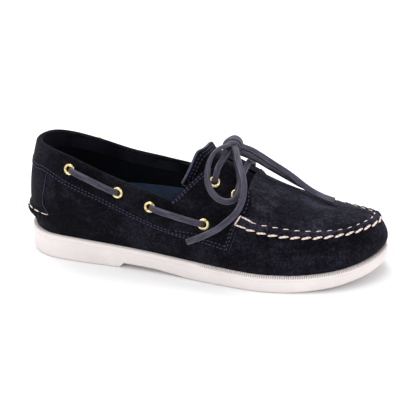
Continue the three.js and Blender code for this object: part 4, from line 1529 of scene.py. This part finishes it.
@dataclass
class Insock:
    """The footbed: cupped at its edge, crowned under the arch."""

    thickness: float = 2.5
    clear: float = 0.7
    side_thickness: float = 0.7
    # height of the cupped edge, the arch and the heel's hollow
    cup: float = 1.3
    arch: float = 3.0
    hollow: float = 0.5
    # x from the part's origin, and half length, of the arch and of the heel's hollow
    arch_at: tuple[float, float] = (-20.0, 45.0)
    heel_at: tuple[float, float] = (-105.0, 26.0)
    # turn and climb of the arch lining's top edge, from the flap backwards
    side_edge: Rows = ((20.6, 0.46), (21.6, 0.50), (22.5, 0.507), (23.1, 0.492), (23.5, 0.47),
                       (23.9, 0.445), (24.3, 0.40), (25.2, 0.26))

    def build(self) -> bpy.types.Object:
        """Makes the footbed.

        Returns:
            The piece.
        """
        inset = LAST.welt + LAST.wall + self.clear
        half = np.linspace(0.0, TOE, 121)[1:-1]
        sides = []
        for turns in (half, AROUND - half):
            x, y, _, _ = LAST.edge(turns, inset)
            z = LAST.value("edge_z", turns) + LAST.gap
            sides.append(np.stack([x - HALF_LENGTH, y, z], -1))
        f = np.linspace(0.0, 1.0, 25)
        bend = 4.0 * f * (1.0 - f)
        span = sides[0][:, None] * (1 - f)[None, :, None] + sides[1][:, None] * f[None, :, None]
        x = span[..., 0]
        cup = self.cup * (np.abs(2 * f - 1) ** 4)[None]
        arch = self.hump(x, self.arch_at) * (f[None] ** 3) * self.arch
        press = -self.hollow * self.hump(x, self.heel_at) * bend[None]
        top = span.copy()
        top[..., 2] += self.thickness + cup + arch + press
        skin = Skin("footbed", Finish.FOOTBED)
        skin.sheet(top)
        skin.sheet(span)
        for a, b in ((top[0], span[0]), (top[-1], span[-1]), (top[:, 0], span[:, 0]),
                     (top[:, -1], span[:, -1])):
            skin.sheet(np.stack([a, b]))
        made = skin.build("footbed")
        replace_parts(made, "insole")
        return made

    def hump(self, x: Array, place: tuple[float, float]) -> Array:
        """A smooth hump along x with its middle and half length."""
        return np.exp(-((x - place[0]) / place[1]) ** 2)

    def build_side(self) -> bpy.types.Object:
        """Makes the blue arch lining that climbs the inner wall from the footbed.

        Returns:
            The piece.
        """
        turns = np.linspace(self.side_edge[0][0], self.side_edge[-1][0], 100)[:, None]
        top = looked_up(self.side_edge, turns)
        climb = 0.04 + (top - 0.04) * np.linspace(0.0, 1.0, 16)[None]
        face = LAST.lifted(turns, climb, -LAST.wall - self.side_thickness)
        back = LAST.lifted(turns, climb, -LAST.wall - 0.1)[:, ::-1]
        skin = Skin("arch_lining", Finish.FOOTBED)
        index = skin.sheet(np.concatenate([face, back], axis=1), tube=True)
        skin.close_ends(index)
        return skin.build("footbed")


# ------------------------------------------------------------------ eyelets


@dataclass
class Eyelets:
    """Brass rings with short barrels, six to a side."""

    outer: float = 4.7
    hole: float = 2.45
    lift: float = 1.6
    crown: float = 0.85
    barrel: float = 1.4
    # name, x and height
    places: tuple[tuple[str, float, float], ...] = (
        ("collar_1", 48, 80.4), ("collar_2", 89, 65.8), ("collar_3", 116.5, 57.5),
        ("collar_4", 161, 49), ("throat_1", 165.5, 77.6), ("throat_2", 183.5, 69))

    def __post_init__(self) -> None:
        """Finds each seat on the last."""
        self.seats = {f"{name}_{side.value}": LAST.seat(x, z, side)
                      for side in Side for name, x, z in self.places}

    def build(self) -> list[bpy.types.Object]:
        """Makes the rings.

        Returns:
            The pieces.
        """
        middle = (self.outer + self.hole) / 2
        rim = (self.outer - self.hole) / 2
        arc = np.linspace(-0.12, math.pi, 12)
        profile = [(middle + rim * math.cos(a), self.lift + self.crown * math.sin(a))
                   for a in arc]
        profile += [(self.hole, 0.4), (self.hole, -self.barrel), (self.hole + 0.2, -1.9),
                    (self.hole + 0.45, -1.6), (self.hole + 0.45, 0.4),
                    (self.outer - 0.5, 0.9)]
        radius, height = np.array(profile).T
        made = []
        spin = np.linspace(0.0, 2 * math.pi, 40, endpoint=False)
        for name, seat in self.seats.items():
            axis = Vector(seat.normal)
            turn = np.array(Vector((0, 0, 1)).rotation_difference(axis).to_matrix())
            local = np.stack(np.broadcast_arrays(radius * np.cos(spin)[:, None],
                                                 radius * np.sin(spin)[:, None], height), -1)
            skin = Skin(f"ring_{name}", Finish.BRASS)
            skin.sheet(local @ turn.T + seat.point, ring=True, tube=True)
            ring = skin.build("brass_ring", sharp=70.0)
            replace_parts(ring, f"eyelet_{name}")
            made.append(ring)
        return made


# ------------------------------------------------------------------ laces


@dataclass(frozen=True)
class Route:
    """A given way of a lace: points, the way its flat side faces, and its end."""

    points: Rows
    facing: Rows
    far_end: str


@dataclass
class Laces:
    """The rawhide lace: side runs, legs, crossing, knot, two loops and two ends."""

    width: float = 4.9
    thick: float = 3.0
    square: float = 0.36
    knot: Triple = (174.0, 0.0, 99.0)
    # half length along x, half height, offset along y and lean in degrees of each turn
    turns: Rows = ((6.9, 5.6, -1.2, 10.0), (6.0, 4.8, 4.4, -20.0), (5.6, 4.2, -5.2, 26.0),
                   (2.5, 2.2, -3.4, 0.0), (2.5, 2.2, 1.2, 0.0), (2.3, 2.0, 5.0, 0.0))
    turn_skew: float = 1.5
    # shares of a side run and its height over the leather there
    side_run_shares: tuple[float, ...] = (0, 0.012, 0.05, 0.10, 0.2, 0.35, 0.5, 0.65, 0.8, 0.90,
                                          0.95, 0.988, 1)
    side_run_lifts: tuple[float, ...] = (-1.7, 0.2, 2.3, 3.1, 3.4, 3.3, 3.2, 3.3, 3.4, 3.1, 2.3,
                                         0.2, -1.7)
    routes: dict[str, Route] = field(default_factory=lambda: {
        "lace_loop_outer": Route((
            (173.5, -4.5, 101.5), (169.7, -11, 102.1), (166.4, -16, 101.6), (163.8, -22, 100),
            (162.3, -28, 96.5), (161.8, -32.5, 92.5), (162.1, -36.5, 88.2), (162.9, -39.3, 83.5),
            (164.9, -41.5, 78.9), (168.3, -43, 74.4), (173, -43.6, 70.9), (178.6, -43.3, 69.2),
            (183.3, -41, 69.8), (186.2, -37.4, 72.5), (186.9, -32, 76.4), (185.7, -26.2, 80.3),
            (183.4, -20, 84.5), (181.2, -15, 88.6), (179, -11, 92.1), (176.5, -5.5, 95.5)),
            ((-0.3, -0.3, 0.9), (-0.8, -0.6, 0.3), (-0.6, -0.7, 0.1), (-0.2, -0.9, 0.2),
             (0.3, -0.8, 0.2), (0.8, -0.4, 0.4), (0.5, -0.4, 0.8)), "knot"),
        "lace_loop_inner": Route((
            (176, -1, 95), (180.1, 3, 92.2), (187.9, 6, 88.3), (194.3, 8.6, 84.2),
            (201, 10.8, 79.4), (207.6, 13.4, 74.6), (214.4, 16, 69.7), (220.4, 18.4, 65.2),
            (225.2, 21.8, 61.2), (227, 26.8, 58.6), (224.8, 32, 57.8), (219.4, 35.4, 59.6),
            (212, 35.4, 64.2), (204.5, 32, 70.4), (197.8, 27, 76.8), (191.4, 21.5, 83.1),
            (185.5, 16, 88.8), (179.6, 11, 93.4), (176, 5, 96.5)),
            ((0.3, -0.3, 0.9), (0.5, -0.2, 0.8), (0.6, 0.2, 0.7), (0.3, 0.5, 0.8),
             (0.3, 0.4, 0.8), (0.3, 0.5, 0.8)), "knot"),
        "lace_end_outer": Route((
            (176, -5, 100.5), (179.2, -11, 97.8), (181.8, -17, 94.6), (185.1, -23.5, 90.3),
            (188.6, -30, 86), (190.9, -36, 81.6), (191.8, -40.5, 77.7), (191.6, -44.6, 72.4),
            (189.6, -47.6, 66.3), (186.1, -49.6, 61.1), (180.3, -50.9, 55.4),
            (174.4, -51.6, 50), (167, -52.1, 45.2), (159.1, -52, 40.6), (149.1, -51, 35.4)),
            ((0.2, -0.7, 0.7), (0.3, -0.8, 0.5), (0.3, -0.9, 0.3), (0.1, -1.0, 0.1),
             (0.0, -1.0, 0.1)), "bare"),
        "lace_end_inner": Route((
            (177.5, -1.5, 101), (183.5, -0.5, 98.3), (188.7, 2, 95.6), (195, 4.6, 91),
            (201.5, 7.2, 85.8), (208, 9.8, 80.7), (214.7, 12.2, 75.6), (221.5, 13.4, 70.5),
            (228.9, 13, 65.2), (237.2, 10.6, 61.2), (246.2, 7.8, 58.6), (255.6, 5.6, 57)),
            ((0.4, -0.5, 0.8), (0.4, -0.7, 0.7), (0.3, -0.8, 0.6), (0.2, -0.7, 0.8)), "bare")})

    def section(self) -> Array:
        """The lace's rounded section, across and out."""
        spin = np.linspace(0.0, 2 * math.pi, 20, endpoint=False)
        c, s = np.cos(spin), np.sin(spin)
        return np.stack([np.sign(c) * np.abs(c) ** self.square * self.width / 2,
                         np.sign(s) * np.abs(s) ** self.square * self.thick / 2], -1)

    def strap(self, skin: Skin, path: Array, facing: Array, closed: bool = False) -> None:
        """Sweeps the lace along a path.

        Args:
            skin: the mesh.
            path: its middle line.
            facing: the way its flat side faces, at evenly spaced stations.
            closed: joins the end to the start.
        """
        s = lengths(path)
        tangent = unit(np.gradient(path, axis=0))
        if closed:
            tangent[0] = tangent[-1] = unit(path[1] - path[-2])
        hints = np.asarray(facing, float)
        if len(hints) != len(path):
            hints = smooth(hints, np.linspace(0.0, len(hints) - 1, len(path)))
        out = unit(hints - tangent * (hints * tangent).sum(-1, keepdims=True))
        across = np.cross(tangent, out)
        section = self.section()
        points = (path[:, None] + across[:, None] * section[None, :, :1]
                  + out[:, None] * section[None, :, 1:])
        around = lengths(np.pad(section, ((0, 0), (0, 1))))
        # corner marks the section's rounded corners, where the lace gets a painted highlight
        corner = np.abs(np.sin(np.linspace(0.0, 4 * math.pi, len(section), endpoint=False)))
        grain = np.stack(np.broadcast_arrays(s[:, None], around[None], corner[None]), -1)
        index = skin.sheet(points, grain, tube=True)
        if not closed:
            skin.close_ends(index)

    def smoothed(self, points: Array, per: int = 6) -> Array:
        """A fine smooth path through points, evenly spaced."""
        points = np.asarray(points, float)
        fine = smooth(points, np.linspace(0.0, len(points) - 1, len(points) * 12))
        s = lengths(fine)
        return between(fine, s, np.linspace(0.0, s[-1], len(points) * per))

    def strapped(self, name: str, node: str, path: Array, facing: Array) -> bpy.types.Object:
        """Makes one strap of lace in place of a CAD node.

        Args:
            name: the piece's name.
            node: the node it replaces.
            path: its middle line.
            facing: the way its flat side faces.

        Returns:
            The piece.
        """
        skin = Skin(name, Finish.LACE)
        self.strap(skin, path, facing)
        return self.finished(skin, node)

    def finished(self, skin: Skin, node: str) -> bpy.types.Object:
        """Closes a mesh of lace that replaces a CAD node."""
        piece = skin.build("rawhide_lace", sharp=60.0)
        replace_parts(piece, node)
        return piece

    def build_bow(self) -> list[bpy.types.Object]:
        """Returns:
            The pieces.
        """
        made = [self.build_knot()]
        for name, route in self.routes.items():
            path = self.smoothed(part_frame(route.points))
            piece = self.strapped(f"{name}_strap", name, path, np.array(route.facing))
            length = float(lengths(path)[-1]) * MM
            tuple(path[0] * MM)
            LOG.info("%s: %.0f mm of lace", name, length / MM)
            made.append(piece)
        return made

    def build_knot(self) -> bpy.types.Object:
        """The knot: three leaning turns of the lace round three smaller ones."""
        middle = part_frame(self.knot)
        skin = Skin("lace_knot_turns", Finish.LACE)
        spin = np.linspace(0.0, 2 * math.pi, 41)
        out = np.stack([np.cos(spin), 0 * spin, np.sin(spin)], -1)
        for wide, tall, away, lean in self.turns:
            path = out * [wide, 1.0, tall]
            turned = np.array(Matrix.Rotation(math.radians(lean), 3, "Z"))
            path = path @ turned.T + middle + [0.0, away, 0.0]
            path[:, 1] += self.turn_skew * np.sin(spin)
            self.strap(skin, path, out @ turned.T, closed=True)
        return self.finished(skin, "lace_knot")

    def build_fixed(self, eyes: Eyelets) -> list[bpy.types.Object]:
        """Makes the runs between eyelets.

        Args:
            eyes: the eyelets the lace runs through.

        Returns:
            The pieces.
        """
        made = []
        for side in Side:
            for name, first, second in (("rear", "collar_1", "collar_2"),
                                        ("front", "collar_3", "collar_4")):
                made.append(self.side_run(f"side_lace_{name}_{side.value}",
                                          eyes.seats[f"{first}_{side.value}"],
                                          eyes.seats[f"{second}_{side.value}"]))
            made.append(self.leg(side, eyes.seats[f"throat_1_{side.value}"]))
        made.append(self.crossing(eyes))
        return made

    def side_run(self, name: str, first: Seat, second: Seat) -> bpy.types.Object:
        """One run along the side, out of one eyelet and into the next."""
        shares = np.array(self.side_run_shares)
        turn = first.turn + (second.turn - first.turn) * shares
        climb = first.climb + (second.climb - first.climb) * shares
        path = self.smoothed(LAST.lifted(turn, climb, self.side_run_lifts), 5)
        facing = LAST.normal(np.linspace(first.turn, second.turn, 9),
                             np.linspace(first.climb, second.climb, 9))
        return self.strapped(f"{name}_strap", name, path, facing)

    def leg(self, side: Side, seat: Seat) -> bpy.types.Object:
        """From the flap's rear eyelet up into the knot."""
        climbs = np.array([0.0, 0.015, 0.05, 0.09, 0.14])
        lifts = np.array([-1.7, 0.6, 3.1, 3.8, 3.8])
        start = LAST.lifted(np.full(5, seat.turn), seat.climb + climbs, lifts)
        sign = side.sign
        top = part_frame([(166.7, sign * 19.8, 87.6), (169.0, sign * 13.0, 91.8),
                          (171.3, sign * 8.8, 95.6), (173.0, sign * 4.0, 98.5)])
        path = self.smoothed(np.concatenate([start, top]))
        facing = np.array([seat.normal, seat.normal, (-0.2, sign * 0.6, 0.8)])
        return self.strapped(f"throat_leg_{side.value}_strap", f"throat_lace_leg_{side.value}",
                             path, facing)

    def crossing(self, eyes: Eyelets) -> bpy.types.Object:
        """From one flap's front eyelet over the throat to the other's."""
        climbs = np.array([0.0, 0.015, 0.07, 0.15, 0.3])
        lifts = np.array([-1.7, 0.6, 3.1, 3.8, 3.9])
        halves, facing = [], []
        for side in Side:
            seat = eyes.seats[f"throat_2_{side.value}"]
            inner = np.linspace(seat.climb + 0.4, 1.94, 4)
            climb = np.concatenate([seat.climb + climbs, inner])
            lift = np.concatenate([lifts, np.linspace(4.0, 5.2, 4)])
            turn = np.full(9, seat.turn)
            halves.append(LAST.lifted(turn, climb, lift))
            facing.append(LAST.normal(turn, climb))
        path = np.concatenate([halves[0], halves[1][::-1]])
        hints = np.concatenate([facing[0], facing[1][::-1]])
        return self.strapped("throat_crossing_strap", "throat_lace_crossing",
                             self.smoothed(path, 5), hints)


# ------------------------------------------------------------------ studio


@dataclass(frozen=True)
class Lamp:
    """One softbox."""

    name: str
    at: Triple
    size: float
    watts: float
    colour: Colour = (1.0, 1.0, 1.0)


@dataclass
class Studio:
    """Camera, softboxes, surroundings and floor."""

    lens: float = 88.0
    shift: tuple[float, float] = (-0.052, -0.135)
    azimuth: float = 13.354
    elevation: float = 20.81
    eye: Triple = (0.1966, -0.7392, 0.3822)
    aim_height: float = 0.03
    surroundings: float = 0.72
    floor_reach: float = 6.0
    lamps: tuple[Lamp, ...] = (
        Lamp("softbox_top", (-0.25, 0.35, 1.30), 1.1, 16.0, (1.0, 0.99, 1.0)),
        Lamp("softbox_front", (-0.9, -1.2, 0.75), 0.9, 3.4, (1.0, 0.98, 0.96)),
        Lamp("softbox_toe", (1.1, -0.5, 0.8), 0.7, 4.0, (0.95, 0.97, 1.0)))

    def placed(self, name: str, data: bpy.types.ID, at: Triple, aim: Vector) -> bpy.types.Object:
        """Puts a camera or a lamp in the scene.

        Args:
            name: its name.
            data: the camera or the light.
            at: where it stands.
            aim: the direction it looks in.

        Returns:
            The object.
        """
        made = bpy.data.objects.new(name, data)
        made.location = at
        made.rotation_mode = "QUATERNION"
        made.rotation_quaternion = aim.to_track_quat("-Z", "Y")
        bpy.context.scene.collection.objects.link(made)
        return made

    def build_camera(self) -> None:
        """Makes the camera."""
        data = bpy.data.cameras.new("camera")
        data.lens, data.sensor_width = self.lens, 36.0
        data.shift_x, data.shift_y = self.shift
        data.clip_start, data.clip_end = 0.01, 50.0
        a, e = math.radians(self.azimuth), math.radians(self.elevation)
        back = Vector((math.sin(a) * math.cos(e), -math.cos(a) * math.cos(e), math.sin(e)))
        bpy.context.scene.camera = self.placed("camera", data, self.eye, -back)

    def build_room(self) -> None:
        """Makes the softboxes, the surroundings and the floor."""
        scene = bpy.context.scene
        scene.view_settings.view_transform = "Standard"
        for lamp in self.lamps:
            data = bpy.data.lights.new(lamp.name, "AREA")
            data.size, data.energy, data.color = lamp.size, lamp.watts, lamp.colour
            aim = Vector((0.0, 0.0, self.aim_height)) - Vector(lamp.at)
            self.placed(lamp.name, data, lamp.at, aim)
        world = bpy.data.worlds.new("studio")
        world.use_nodes = True
        background = world.node_tree.nodes["Background"]
        background.inputs["Color"].default_value = (0.98, 0.985, 1.0, 1.0)
        background.inputs["Strength"].default_value = self.surroundings
        scene.world = world
        mesh = bpy.data.meshes.new("studio_floor")
        far = self.floor_reach
        mesh.from_pydata([(-far, -far, 0), (far, -far, 0), (far, far, 0), (-far, far, 0)], [],
                         [(0, 1, 2, 3)])
        mesh.materials.append(WARDROBE[Finish.FLOOR])
        floor = bpy.data.objects.new("studio_floor", mesh)
        scene.collection.objects.link(floor)


# ------------------------------------------------------------------ assembly


def main() -> None:
    """Makes the camera and cords first, then the shoe from the sole upwards."""
    logging.basicConfig(level=logging.INFO, format="%(name)s: %(message)s")
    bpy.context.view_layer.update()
    studio = Studio()
    studio.build_camera()
    laces = Laces()
    laces.build_bow()
    eyes = Eyelets()
    laces.build_fixed(eyes)
    eyes.build()
    Sole().build()
    sock = Insock()
    sock.build()
    sock.build_side()
    Tongue().build()
    Upper().build(list(eyes.seats.values()))
    studio.build_room()


if __name__ == "__main__":
    main()
